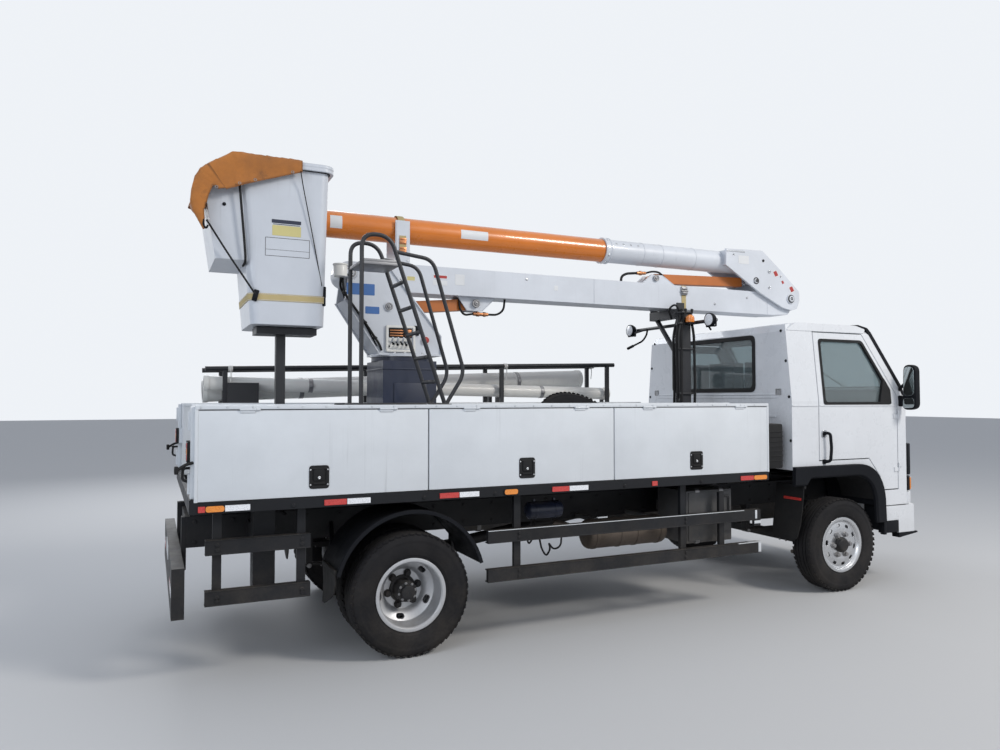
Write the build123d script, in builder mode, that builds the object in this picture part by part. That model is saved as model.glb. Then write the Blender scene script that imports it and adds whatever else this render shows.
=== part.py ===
from build123d import *
from math import cos, hypot, radians, sin
import os

os.makedirs("parts", exist_ok=True)

# Cherry picker truck, millimetres. +X is forward, +Y the truck's left, +Z up.
# The origin lies on the ground, in the middle of the truck's length and width.

# Driving dimensions
overall_length = 6380.0
rear_overhang = 1420.0
wheelbase = 3900.0
tyre_radius = 399.0
front_track = 1860.0
twin_centre = 822.5
twin_spacing = 245.0
kingpin_y = 740.0

rail_y = 385.0
rail_width = 70.0
rail_bottom = 700.0
rail_top = 900.0
bed_bottom = 1000.0
bed_floor_top = 1040.0

locker_rear = -1306.0
locker_front = 2985.0
locker_bottom = 1071.0
locker_top = 1621.0
locker_inner = 640.0
locker_outer = 1070.0
body_half_width = 1100.0
locker_wall = 20.0
door_gap = 8.0
locker_door_thickness = 22.0

cab_half_width = 1000.0
cab_roof_half_width = 930.0
cab_belt = 1640.0
cab_roof = 2318.0

pedestal_x = 247.0
slew_gap = 0.5
turret_base = 1984.0
plate_y = 136.0
plate_thickness = 22.0

boom_half_width = 118.0
boom_bottom = 2488.0
boom_top = 2708.0
boom_wall = 10.0
upper_boom_z = 2990.0
upper_boom_radius = 104.0
upper_boom_rear = -950.0
ring_rear = 2100.0
ring_front = 2165.0
steel_tube_front = 3960.0
pin_clearance = 0.5

bucket_x = -760.0
bucket_pin_z = 2990.0
bucket_floor = 2135.0
bucket_rim = 3150.0
bucket_wall = 12.0
bucket_near = -800.0
bucket_far = -172.0
cushion_gap = 0.3

hitch_height = 545.0
hitch_y = 60.0
hitch_z = 40.0
hitch_hole = 9.0

# Pin centres of the arm, as distance ahead of the rear axle and height
shoulder = (-195.0, 2605.0)
elbow = (4224.0, 2654.0)
lower_base = (98.0, 2364.0)
lower_eye = (853.0, 2436.0)
upper_base = (2655.0, 2768.0)
upper_eye = (3771.0, 2805.0)

RA = -overall_length / 2 + rear_overhang
FA = RA + wheelbase


def block(x0, x1, y0, y1, z0, z1, mode=Mode.ADD):
    """A box between two corners, x measured from the rear axle."""
    with Locations((RA + (x0 + x1) / 2, (y0 + y1) / 2, (z0 + z1) / 2)):
        Box(x1 - x0, abs(y1 - y0), z1 - z0, mode=mode)


def across(x, z, y0, y1, radius, mode=Mode.ADD):
    """A round bar along Y, x measured from the rear axle."""
    with Locations((RA + x, (y0 + y1) / 2, z)):
        Cylinder(radius, abs(y1 - y0), rotation=(90, 0, 0), mode=mode)


def upright(x, y, z0, z1, radius, mode=Mode.ADD):
    """A round bar along Z, x measured from the rear axle."""
    with Locations((RA + x, y, (z0 + z1) / 2)):
        Cylinder(radius, z1 - z0, mode=mode)


def bar(p, q, radius, mode=Mode.ADD):
    """A round bar between two points, x measured from the rear axle."""
    start = Vector(RA + p[0], p[1], p[2])
    end = Vector(RA + q[0], q[1], q[2])
    with BuildSketch(Plane(origin=start, z_dir=end - start)) as section:
        Circle(radius)
    extrude(section.sketch, amount=(end - start).length, mode=mode)


def profile_y(points, y0, y1, mode=Mode.ADD):
    """A side profile of (x, z) points, extruded from y0 to y1."""
    low, high = min(y0, y1), max(y0, y1)
    with BuildSketch(Plane.XZ.offset(-high)) as section:
        with BuildLine():
            Polyline(*[(RA + x, z) for x, z in points], close=True)
        make_face()
    extrude(section.sketch, amount=high - low, mode=mode)


def profile_x(points, x0, x1, mode=Mode.ADD):
    """A cross-section of (y, z) points, extruded from x0 to x1."""
    with BuildSketch(Plane.YZ.offset(RA + x0)) as section:
        with BuildLine():
            Polyline(*points, close=True)
        make_face()
    extrude(section.sketch, amount=x1 - x0, mode=mode)


def spun(points, x, y, z, side=1, tilt=0.0):
    """A profile of (distance along the axle, radius) points turned about the axle."""
    axle = (0, cos(radians(tilt)), sin(radians(tilt)))
    plane = Plane(origin=(RA + x, y, z), x_dir=axle, z_dir=(1, 0, 0))
    with BuildSketch(plane) as section:
        with BuildLine():
            Polyline(*[(side * d, r) for d, r in points], close=True)
        make_face()
    revolve(section.sketch, axis=Axis((RA + x, y, z), axle))


def tube(points, radius, bend):
    """A bent round tube through points, x measured from the rear axle."""
    with BuildLine() as route:
        FilletPolyline(*[(RA + x, y, z) for x, y, z in points], radius=bend)
    with BuildSketch(Plane(origin=route.line @ 0, z_dir=route.line % 0)) as section:
        Circle(radius)
    sweep(section.sketch, path=route.line)


def plan_cut(points, z0, z1):
    """Cuts away a plan shape of (x, y) points, on both sides of the truck."""
    for side in (-1, 1):
        with BuildSketch(Plane.XY.offset(z0)) as section:
            with BuildLine():
                Polyline(*[(RA + x, side * y) for x, y in points], close=True)
            make_face()
        extrude(section.sketch, amount=z1 - z0, mode=Mode.SUBTRACT)


def save(part, name):
    """Names a finished piece and writes its file."""
    part.label = name
    export_step(part, f"parts/{name}.step")


def along(start, end, distance, off=0.0):
    """A point at a distance from start towards end, moved sideways by off."""
    length = hypot(end[0] - start[0], end[1] - start[1])
    ux, uz = (end[0] - start[0]) / length, (end[1] - start[1]) / length
    return start[0] + ux * distance - uz * off, start[1] + uz * distance + ux * off


SIDES = (("right", -1), ("left", 1))

# Frame, axles and running gear

with BuildPart() as chassis_frame:
    for side in (-1, 1):
        inner = side * (rail_y - rail_width / 2)
        outer = side * (rail_y + rail_width / 2)
        block(-1320, 4700, inner, outer, rail_bottom, rail_top)
        block(-1300, 3000, inner, outer - side * 8, rail_top, bed_bottom)
        for x in (3420, 4180):
            block(x - 30, x + 30, inner, outer, rail_top, 1060)
    for x in (-1280, -620, 620, 1500, 4640):
        block(x - 40, x + 40, -350, 350, rail_bottom + 30, rail_top - 30)
    # Stabiliser housings on their cross tube behind the rear axle
    block(-955, -845, -350, 350, 760, 860)
    for side in (-1, 1):
        block(-945, -855, side * 420, side * 770, 760, 860)
        block(-965, -835, side * 770, side * 900, 490, 995)
        block(-953, -847, side * 782, side * 888, 480, 985, mode=Mode.SUBTRACT)
save(chassis_frame.part, "chassis_frame")

with BuildPart() as front_axle:
    block(3855, 3945, -640, 640, 340, 410)
    for side in (-1, 1):
        block(3865, 3935, side * 600, side * 705, 345, 455)
        upright(3900, side * kingpin_y, 330, 470, 42)
        upright(3900, side * kingpin_y, 300, 500, 19, mode=Mode.SUBTRACT)
save(front_axle.part, "front_axle")

with BuildPart() as rear_axle:
    across(0, tyre_radius, -707, 707, 58)
    with Locations((RA, 0, tyre_radius)):
        Sphere(160)
    for side in (-1, 1):
        across(0, tyre_radius, side * 610, side * 690, 165)
    bar((150, 0, tyre_radius + 15), (2100, 0, 700), 45)
save(rear_axle.part, "rear_axle")

# Spring packs: axle position, lowest leaf, half length, axle seat height
spring_table = ((0.0, 470.0, 560.0, 457.0), (3900.0, 420.0, 520.0, 410.0))
with BuildPart() as leaf_springs:
    for axle, lowest, half, seat in spring_table:
        for side in (-1, 1):
            inner, outer = side * (rail_y - 32), side * (rail_y + 32)
            for leaf in range(4):
                reach = half * (0.4 + 0.2 * leaf)
                low = lowest + 14 * leaf
                block(axle - reach, axle + reach, inner, outer, low, low + 14)
            block(axle - 60, axle + 60, inner, outer, seat, lowest)
            for end in (-1, 1):
                x = axle + end * (half - 25)
                block(x - 22, x + 22, inner, outer, lowest + 56, rail_bottom)
save(leaf_springs.part, "leaf_springs")

with BuildPart() as engine_block:
    block(3330, 4560, -250, 250, 520, 960)
    block(2250, 3330, -130, 130, 560, 860)
    for side in (-1, 1):
        for x in (3430, 4330):
            block(x - 35, x + 35, side * 250, side * 350, 760, 840)
save(engine_block.part, "engine_block")

with BuildPart() as underbody_tanks:
    with Locations((RA + 1350, -700, 620)):
        Cylinder(112, 820, rotation=(0, 90, 0))
    bar((1740, -700, 620), (2150, -520, 640), 32)
    block(1000, 1900, 560, 900, 470, 930)
    block(2180, 2640, -930, -560, 520, 940)
    # Brackets to the frame: position, side, outer end, bottom, top
    for x, side, reach, low, high in (
            (1050, -1, 700, 700, 730), (1650, -1, 700, 700, 730), (1150, 1, 560, 720, 800),
            (1750, 1, 560, 720, 800), (2260, -1, 560, 720, 800), (2560, -1, 560, 720, 800)):
        block(x - 20, x + 20, side * (rail_y + rail_width / 2), side * reach, low, high)
save(underbody_tanks.part, "underbody_tanks")

with BuildPart() as air_cleaner:
    with BuildSketch(Plane.XY.offset(1080)):
        with Locations((RA + 3125, -810)):
            RectangleRounded(170, 340, 40)
    extrude(amount=370)
    block(3080, 3170, -700, -355, 1050, 1080)
    block(3080, 3170, -415, -355, rail_top, 1050)
save(air_cleaner.part, "air_cleaner")

# Wheels
tyre_profile = (
    (-79.7, 216.3), (-79.7, 235.6), (-102, 300), (-95, 376), (-72, tyre_radius),
    (72, tyre_radius), (95, 376), (102, 300), (79.7, 235.6), (79.7, 216.3),
)
front_rim_profile = (
    (-88, 235), (-80, 235), (-80, 216), (80, 216), (80, 235), (88, 235), (88, 207),
    (66, 200), (72, 130), (72, 60), (60, 60), (60, 126), (54, 194), (-88, 207),
)
twin_rim_profile = (
    (34.5, 235), (42.5, 235), (42.5, 216), (202.5, 216), (202.5, 235), (210.5, 235),
    (210.5, 207), (86, 207), (44, 150), (12, 132), (12, 60), (2, 60), (2, 138),
    (36, 158), (66, 207), (34.5, 207),
)

for tag, side in SIDES:
    wheel_y = side * front_track / 2
    with BuildPart() as front_tyre:
        spun(tyre_profile, wheelbase, wheel_y, tyre_radius)
    save(front_tyre.part, f"front_tyre_{tag}")

    with BuildPart() as front_rim:
        spun(front_rim_profile, wheelbase, wheel_y, tyre_radius, side)
        for turn in range(10):
            a = radians(36 * turn + 18)
            across(wheelbase + 164 * cos(a), tyre_radius + 164 * sin(a),
                   wheel_y, wheel_y + side * 90, 14, mode=Mode.SUBTRACT)
        for turn in range(6):
            a = radians(60 * turn)
            across(wheelbase + 96 * cos(a), tyre_radius + 96 * sin(a),
                   wheel_y + side * 71, wheel_y + side * 92, 14)
        across(wheelbase, tyre_radius, wheel_y - side * 40, wheel_y + side * 112, 62)
    save(front_rim.part, f"front_rim_{tag}")

    with BuildPart() as rear_tyres:
        for shift in (-1, 1):
            spun(tyre_profile, 0, side * twin_centre + shift * twin_spacing / 2, tyre_radius)
    save(rear_tyres.part, f"rear_tyres_{tag}")

    with BuildPart() as rear_rims:
        spun(twin_rim_profile, 0, side * twin_centre, tyre_radius, side)
        for turn in range(8):
            a = radians(45 * turn + 22.5)
            across(170 * cos(a), tyre_radius + 170 * sin(a), side * twin_centre,
                   side * (twin_centre + 100), 18, mode=Mode.SUBTRACT)
        for turn in range(6):
            a = radians(60 * turn + 12)
            across(94 * cos(a), tyre_radius + 94 * sin(a), side * (twin_centre + 11),
                   side * (twin_centre + 40), 15)
        spun(twin_rim_profile, 0, side * twin_centre, tyre_radius, -side)
        across(0, tyre_radius, side * (twin_centre - 115), side * (twin_centre + 120), 62)
        across(0, tyre_radius, side * (twin_centre + 120), side * (twin_centre + 150), 40)
    save(rear_rims.part, f"rear_rims_{tag}")

    # The fork stands 2 mm clear of the axle's boss, above and below
    with BuildPart() as knuckle:
        for low, high in ((285, 328), (472, 515)):
            block(3862, 3938, side * 700, side * 800, low, high)
        block(3862, 3938, side * 784, side * 800, 285, 515)
        upright(3900, side * kingpin_y, 290, 510, 19 - pin_clearance)
        across(wheelbase, tyre_radius, side * 795, side * 889.5, 30)
        bar((3868, side * 735, 306), (3640, side * 700, 306), 17)
    save(knuckle.part, f"knuckle_{tag}")

# Body: bed, lockers, guards and fenders

with BuildPart() as bed_floor:
    block(locker_rear, locker_front, -1060, 1060, bed_bottom, bed_floor_top)
    for side in (-1, 1):
        block(locker_rear, locker_front, side * 1040, side * 1100, 1006, locker_bottom)
        block(locker_rear, locker_front, side * 655, side * 700, bed_floor_top, locker_bottom)
    block(locker_rear - 30, locker_rear, -1100, 1100, 1006, 1090)
    block(locker_front, locker_front + 25, -620, 620, bed_bottom, 1560)
save(bed_floor.part, "bed_floor")

locker_splits = (locker_rear, 90.0, 1510.0, locker_front)
hinge_shares = (0.2, 0.8)
hinge_y, hinge_z = body_half_width + 7.0, locker_top - 21.0
with BuildPart() as locker_banks:
    for side in (-1, 1):
        block(locker_rear, locker_front, side * locker_inner, side * locker_outer,
              locker_bottom, locker_top)
        block(locker_rear, locker_front, side * locker_outer, side * body_half_width,
              locker_top - 20, locker_top)
        for rear, front in zip(locker_splits, locker_splits[1:]):
            block(rear + 20, front - 20, side * (locker_inner + locker_wall),
                  side * (locker_outer + 1), locker_bottom + locker_wall,
                  locker_top - 25, mode=Mode.SUBTRACT)
            for share in hinge_shares:
                x = rear + door_gap / 2 + (front - rear - door_gap) * share + 45 + pin_clearance
                with Locations((RA + x + 12, side * hinge_y, hinge_z)):
                    Cylinder(6, 24, rotation=(0, 90, 0))
                block(x, x + 24, side * 1098, side * hinge_y, hinge_z + 3, hinge_z + 12)
        # Tail lamp brackets
        block(locker_rear - 22, locker_rear, side * 960, side * 1070, 1300, 1420)
save(locker_banks.part, "locker_banks")

latch_spots = ((-380.0, 1250.0), (800.0, 1250.0), (2280.0, 1250.0))
for tag, side in SIDES:
    inner, outer = side * (body_half_width - locker_door_thickness), side * body_half_width
    for number in range(3):
        rear, front = locker_splits[number] + door_gap / 2, locker_splits[number + 1] - door_gap / 2
        latch_x, latch_z = latch_spots[number]
        with BuildPart() as locker_door:
            block(rear, front, inner, outer, locker_bottom + 4, locker_top - 26)
            block(latch_x - 62, latch_x + 62, outer - side * 9, outer,
                  latch_z - 45, latch_z + 45, mode=Mode.SUBTRACT)
            block(latch_x - 40, latch_x + 40, outer - side * 10, outer - side * 2,
                  latch_z - 10, latch_z + 30)
            for share in hinge_shares:
                x = rear + (front - rear) * share
                with Locations((RA + x, side * hinge_y, hinge_z)):
                    Cylinder(6, 90, rotation=(0, 90, 0))
                block(x - 45, x + 45, outer - side * 2, side * (body_half_width + 9),
                      locker_top - 60, locker_top - 26)
        save(locker_door.part, f"locker_door_{tag}_{number + 1}")

# Guard rails: rear end, front end, bottom, top
guard_table = (
    (527.0, 2930.0, 690.0, 770.0), (527.0, 2930.0, 430.0, 510.0),
    (-1246.0, -650.0, 765.0, 845.0), (-1246.0, -650.0, 475.0, 555.0),
)
with BuildPart() as side_guards:
    for side in (-1, 1):
        for rear, front, low, high in guard_table:
            block(rear, front, side * 1030, side * 1062, low, high)
        for x, low in ((760.0, 430.0), (2180.0, 430.0), (-1180.0, 475.0), (-700.0, 475.0)):
            block(x - 25, x + 25, side * 1000, side * 1030, low, bed_bottom)
    # The rear underrun bar, its hitch holes and its hangers
    block(-1420, -1350, -1000, 1000, 400, 690)
    for y, z in ((-hitch_y, -hitch_z), (-hitch_y, hitch_z), (hitch_y, -hitch_z), (hitch_y, hitch_z)):
        with Locations((RA - 1385, y, hitch_height + z)):
            Cylinder(hitch_hole, 90, rotation=(0, 90, 0), mode=Mode.SUBTRACT)
    for side in (-1, 1):
        block(-1350, -1320, side * 350, side * 420, 560, rail_top)
save(side_guards.part, "side_guards")

with BuildPart() as rear_fenders:
    for side in (-1, 1):
        with BuildSketch(Plane.XZ.offset(600 if side < 0 else -1062)):
            with Locations((RA, 440)):
                Circle(505)
                Circle(488, mode=Mode.SUBTRACT)
                with Locations((0, -350)):
                    Rectangle(1200, 960, mode=Mode.SUBTRACT)
        extrude(amount=462)
        block(-20, 20, side * 700, side * 740, 935, bed_bottom)
        block(3352, 3362, side * 800, side * 1000, 400, 1060)
        block(-492, -478, side * 640, side * 1025, 180, 580)
save(rear_fenders.part, "rear_fenders")

# Cab

cab_outline = (
    (3350, 1060), (3350, 2240), (3385, 2300), (3470, cab_roof), (4230, cab_roof),
    (4330, 2285), (4700, 1740), (4790, 1520), (4880, 980), (4890, 900), (4890, 700),
    (4388, 700), (4350, 925), (4235, 1060),
)
cab_section = (
    (-cab_half_width, 600), (-cab_half_width, cab_belt), (-938, 2240), (-900, 2300),
    (-850, cab_roof), (850, cab_roof), (900, 2300), (938, 2240),
    (cab_half_width, cab_belt), (cab_half_width, 600),
)
cavity_outline = (
    (3395, 1110), (3395, 2225), (3475, 2273), (4215, 2273), (4292, 2248), (4652, 1722),
    (4740, 1515), (4828, 1000), (4828, 760), (4470, 760), (4432, 1110),
)
cavity_section = (
    (-955, 700), (-955, cab_belt), (-895, 2220), (-850, 2273),
    (850, 2273), (895, 2220), (955, cab_belt), (955, 700),
)
screen_foot, screen_head = (4700.0, 1740.0), (4330.0, 2285.0)
screen_length = hypot(370.0, 545.0)
rear_window = (560.0, 1745.0, 2205.0)
door_outline = (
    (3665, 1134), (4272, 1134), (4412, 966), (4432, 846), (4640, 846),
    (4640, 1690), (4262, 2238), (3665, 2238),
)
door_opening = (
    (3657, 1126), (4268, 1126), (4404, 963), (4424, 838), (4648, 838),
    (4648, 1693), (4266, 2246), (3657, 2246),
)
window_opening = ((3735, 1625), (3735, 2168), (4248, 2168), (4545, 1738), (4545, 1625))
window_glass = (
    (3735.3, 1625.3), (3735.3, 2167.7), (4247.8, 2167.7), (4544.7, 1737.9), (4544.7, 1625.3),
)

door_hinge_x, door_hinge_y = 4648.0, 1008.0
door_hinges = (1000.0, 1480.0)

with BuildPart() as cab_cavity:
    profile_y(cavity_outline, -960, 960)
    profile_x(cavity_section, 3300, 4900, mode=Mode.INTERSECT)
    block(3300, 4900, -490, 490, 690, 1110, mode=Mode.SUBTRACT)
    plan_cut(((4700, 960), (4840, 960), (4840, 840)), 690, 2300)

with BuildPart() as cab_shell:
    profile_y(cab_outline, -cab_half_width, cab_half_width)
    profile_x(cab_section, 3300, 4950, mode=Mode.INTERSECT)
    plan_cut(((4745, 1010), (4900, 1010), (4900, 870)), 650, 2330)
    add(cab_cavity.part, mode=Mode.SUBTRACT)
    block(4300, 4845, -440, 440, 690, 1062, mode=Mode.SUBTRACT)
    profile_y((along(screen_foot, screen_head, 45, -40),
               along(screen_foot, screen_head, screen_length - 35, -40),
               along(screen_foot, screen_head, screen_length - 35, 110),
               along(screen_foot, screen_head, 45, 110)), -850, 850, mode=Mode.SUBTRACT)
    block(3340, 3410, -rear_window[0], rear_window[0], rear_window[1], rear_window[2],
          mode=Mode.SUBTRACT)
    for side in (-1, 1):
        profile_y(door_opening, side * 850, side * 1010, mode=Mode.SUBTRACT)
        for low in door_hinges:
            upright(door_hinge_x, side * door_hinge_y, low + 40 + pin_clearance, low + 80, 6)
            block(door_hinge_x + 3, 4690, side * 999, side * 1006, low + 40 + pin_clearance, low + 80)
save(cab_shell.part, "cab_shell")

with BuildPart() as cab_glass:
    profile_y((along(screen_foot, screen_head, 45.3, 12),
               along(screen_foot, screen_head, screen_length - 35.3, 12),
               along(screen_foot, screen_head, screen_length - 35.3, 19),
               along(screen_foot, screen_head, 45.3, 19)), -849.7, 849.7)
    block(3364, 3370, -rear_window[0] + cushion_gap, rear_window[0] - cushion_gap,
          rear_window[1] + cushion_gap, rear_window[2] - cushion_gap)
save(cab_glass.part, "cab_glass")

for tag, side in SIDES:
    with BuildPart() as cab_door:
        profile_y(door_outline, side * 860, side * cab_half_width)
        profile_x(((side * 1000, 800), (side * 1000, cab_belt), (side * 930, 2318),
                   (side * 892, 2318), (side * 962, cab_belt), (side * 962, 800)),
                  3600, 4700, mode=Mode.INTERSECT)
        profile_y(window_opening, side * 850, side * 1010, mode=Mode.SUBTRACT)
        for low in door_hinges:
            upright(door_hinge_x, side * door_hinge_y, low, low + 40, 6)
            block(4590, door_hinge_x - 3, side * 999, side * 1006, low, low + 40)
    save(cab_door.part, f"cab_door_{tag}")

    with BuildPart() as door_glass:
        profile_y(window_glass, side * 860, side * cab_half_width)
        profile_x(((side * 984, 1600), (side * 984, cab_belt), (side * 914, 2318),
                   (side * 908, 2318), (side * 978, cab_belt), (side * 978, 1600)),
                  3600, 4700, mode=Mode.INTERSECT)
    save(door_glass.part, f"door_glass_{tag}")

flare_outline = (
    (3352, 1062), (4236, 1062), (4352, 925), (4390, 700), (4390, 560), (4446, 560),
    (4446, 700), (4408, 945), (4266, 1120), (3352, 1120),
)
with BuildPart() as cab_trim:
    for side in (-1, 1):
        profile_y(flare_outline, side * 1000, side * 1032)
        block(4396, 4636, side * 790, side * 1000, 440, 696)
        block(4420, 4612, side * 880, side * 1001, 560, 670, mode=Mode.SUBTRACT)
    block(4890, 4914, -600, 600, 730, 950)
    for slot in range(4):
        low = 752 + 46 * slot
        block(4890, 4915, -575, 575, low, low + 32, mode=Mode.SUBTRACT)
    block(4890, 4900, -580, 580, 740, 940)
save(cab_trim.part, "cab_trim")

with BuildPart() as mirrors:
    for side in (-1, 1):
        block(4668, 4704, side * 1085, side * 1245, 1500, 1860)
        block(4668, 4704, side * 1085, side * 1245, 1290, 1470)
        block(4680, 4696, side * 1120, side * 1150, 1470, 1500)
        bar((4688, side * 1040, 1840), (4688, side * 1100, 1800), 11)
        bar((4688, side * 1040, 1840), (4700, side * 1016, 1620), 11)
        bar((4700, side * 1016, 1620), (4688, side * 1100, 1560), 11)
        block(4682, 4716, side * cab_half_width, side * 1020, 1600, 1636)
save(mirrors.part, "mirrors")

with BuildPart() as front_bumper:
    with BuildSketch(Plane.XY.offset(430)):
        with BuildLine():
            Polyline((RA + 4642, -1000), (RA + 4850, -1000), (RA + 4960, -850),
                     (RA + 4960, 850), (RA + 4850, 1000), (RA + 4642, 1000), close=True)
        make_face()
    extrude(amount=262)
    block(4600, 4890, -800, 800, 420, 700, mode=Mode.SUBTRACT)
    block(4930, 4970, -420, 420, 500, 620, mode=Mode.SUBTRACT)
    for side in (-1, 1):
        block(4640, 4892, side * 355, side * 415, 640, 692)
        block(4640, 4700, side * 355, side * 415, 690, rail_bottom)
save(front_bumper.part, "front_bumper")

with BuildPart() as seats:
    for centre in (-560, 0, 560):
        width = 170 if centre == 0 else 245
        block(3560, 4060, centre - width, centre + width, 1110, 1330)
        block(3540, 4080, centre - width, centre + width, 1330, 1440)
        block(3480, 3600, centre - width, centre + width, 1440, 2000)
save(seats.part, "seats")

with BuildPart() as dashboard:
    profile_y(((4480, 1530), (4680, 1590), (4742.5, 1500), (4788.6, 1230), (4640, 1230),
               (4500, 1400)), -820, 820)
    bar((4590, 430, 1430), (4330, 430, 1560), 26)
    with Locations(Location((RA + 4320, 430, 1565), (0, 63.4, 0))):
        Torus(185, 15)
    with Locations(Location((RA + 4320, 430, 1565), (0, 63.4, 0))):
        Box(360, 34, 14)
save(dashboard.part, "dashboard")

# Lamps: reflector strips on the body rail as rear end and front end
strip_table = (
    (-1290.0, -980.0), (-530.0, -240.0), (190.0, 470.0), (690.0, 740.0),
    (1030.0, 1290.0), (1840.0, 1880.0), (2690.0, 2960.0),
)
indicator_plan = ((4790, 969.8), (4845, 920.2), (4862, 929), (4800, 985))
with BuildPart() as marker_lamps:
    for side in (-1, 1):
        for rear, front in strip_table:
            block(rear, front, side * body_half_width, side * 1106, 1016, 1052)
        block(-1345, locker_rear - 22, side * 965, side * 1065, 1305, 1415)
        with BuildSketch(Plane.XY.offset(860)):
            with BuildLine():
                Polyline(*[(RA + x, side * y) for x, y in indicator_plan], close=True)
            make_face()
        extrude(amount=45)
    upright(2830, -335, 2339, 2400, 34)
save(marker_lamps.part, "marker_lamps")

with BuildPart() as clear_lamps:
    for side in (-1, 1):
        block(4890, 4925, side * 640, side * 850, 760, 880)
        with Locations((RA + 2849, side * 590, 2345)):
            Cylinder(46, 50, rotation=(0, 90, 0))
save(clear_lamps.part, "clear_lamps")

# Stabilisers
stabiliser_slack = 5.0
for tag, side in SIDES:
    with BuildPart() as stabiliser_leg:
        block(-953 + stabiliser_slack, -847 - stabiliser_slack, side * (782 + stabiliser_slack),
              side * (888 - stabiliser_slack), 470, 975)
        upright(-900, side * 835, 440, 470, 95)
        block(-953 + pin_clearance, -847 - pin_clearance, side * (782 + pin_clearance),
              side * (888 - pin_clearance), 925, 965)
    save(stabiliser_leg.part, f"stabiliser_leg_{tag}")

# Deck equipment

with BuildPart() as pedestal:
    block(35, 459, -230, 230, bed_floor_top, 1950)
    block(-20, 514, -290, 290, bed_floor_top, 1065)
    upright(pedestal_x, 0, 1950, turret_base - slew_gap, 225)
save(pedestal.part, "pedestal")

with BuildPart() as access_ladder:
    for y in (-1000, -700):
        tube(((-330, y, locker_top), (-330, y, 2680), (20, y, 2680), (375, y, 1830),
              (250, y, locker_top + 10)), 14, 60)
        bar((-80, y, 2540), (235, y, locker_top + 10), 13)
        block(-430, 262, y - 14, y + 14, locker_top, locker_top + 17)
    for share in (0.12, 0.3, 0.48, 0.66, 0.84):
        x, z = -80 + 315 * share, 2540 - 909 * share
        bar((x, -1000, z), (x, -700, z), 11)
    block(-335, -75, -1000, -700, 2528, 2546)
save(access_ladder.part, "access_ladder")

with BuildPart() as arm_rests:
    block(2785, 2875, -285, -195, bed_floor_top, 2440)
    block(2780, 2880, -230, 200, 2400, boom_bottom - 10)
    for side in (-1, 1):
        block(2790, 2870, side * 190, side * 205, 2440, 2535)
    bar((2830, -240, 1950), (2830, 150, 2410), 22)
    bar((2890, -610, 2345), (2890, 610, 2345), 16)
    bar((2830, -240, 1700), (2450, -240, bed_floor_top + 26), 22)
    block(2800, 2860, -370, -280, 2328, 2339)
    block(2740, 2920, -340, -140, bed_floor_top, bed_floor_top + 17)
    bar((2890, 380, 2345), (2740, 380, 2300), 8)
    # Bucket stand on the bed
    block(-790, -730, -560, -500, bed_floor_top, 2090)
    block(-925, -540, -640, -420, 2085, bucket_floor - 6)
    block(-830, -690, -600, -460, bed_floor_top, bed_floor_top + 13)
save(arm_rests.part, "arm_rests")

rack_rear, rack_front, rack_low, rack_high = -1150.0, 2700.0, 1900.0, 2000.0
rack_rise = (rack_high - rack_low) / (rack_front - rack_rear)
with BuildPart() as tool_rack:
    for y in (700, 1085):
        bar((rack_rear, y, rack_low), (rack_front, y, rack_high), 20)
    for x in (-1000.0, 250.0, 1450.0, 2620.0):
        z = rack_low + rack_rise * (x - rack_rear)
        for y in (700, 1085):
            block(x - 18, x + 18, y - 15, y + 15, locker_top, z)
        bar((x, 700, z), (x, 1085, z), 15)
        if x < 2400:
            lowest = 1634 + 0.0389 * (x - rack_rear)
            block(x - 15, x + 15, 950, 1000, locker_top, lowest - 1)
        lowest = 1732 - 0.0204 * (x - rack_rear)
        block(x - 15, x + 15, 785, 815, locker_top, lowest - 1)
    block(-985, -745, 650, 735, locker_top, 1790)
save(tool_rack.part, "tool_rack")

with BuildPart() as tool_tubes:
    bar((-1150, 975, 1722), (2450, 975, 1862), 88)
    bar((-1150, 800, 1790), (2680, 800, 1712), 58)
save(tool_tubes.part, "tool_tubes")

with BuildPart() as spare_wheel:
    spun(tyre_profile, 2030, 312, 1379, tilt=136.5)
    spun(front_rim_profile, 2030, 312, 1379, tilt=136.5)
save(spare_wheel.part, "spare_wheel")

# Arm

turret_plate = (
    (-237, 2399), (-200, 2686), (109, 2648), (515, 2147), (515, 2004), (32, 2004),
)
with BuildPart() as turret:
    upright(pedestal_x, 0, turret_base, turret_base + 22, 240)
    block(20, 515, -185, 185, turret_base + 8, turret_base + 22)
    for side in (-1, 1):
        near, far = side * plate_y, side * (plate_y + plate_thickness)
        profile_y(turret_plate, near, far)
        across(*shoulder, far, far + side * 10, 46)
        across(*lower_base, far, far + side * 8, 38)
    profile_y(((-237, 2399), (-223, 2399), (46, 2004), (32, 2004)), -plate_y, plate_y)
    block(501, 515, -plate_y, plate_y, 2004, 2130)
    across(*shoulder, -175, 175, 24)
    across(*lower_base, -170, 170, 22)
    # Control panel on the right-hand plate
    block(80, 300, -175, -158, 2025, 2215)
    block(94, 285, -176, -164, 2038, 2203, mode=Mode.SUBTRACT)
    for lever in range(4):
        x = 120 + 42 * lever
        bar((x, -160, 2090), (x, -205, 2125), 7)
    across(391, 2112, -180, -157, 20)
    # Swivel housing behind the shoulder
    upright(-285, -205, 2560, 2655, 48)
    block(-245, -195, -205, -150, 2590, 2620)
save(turret.part, "turret")

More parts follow.
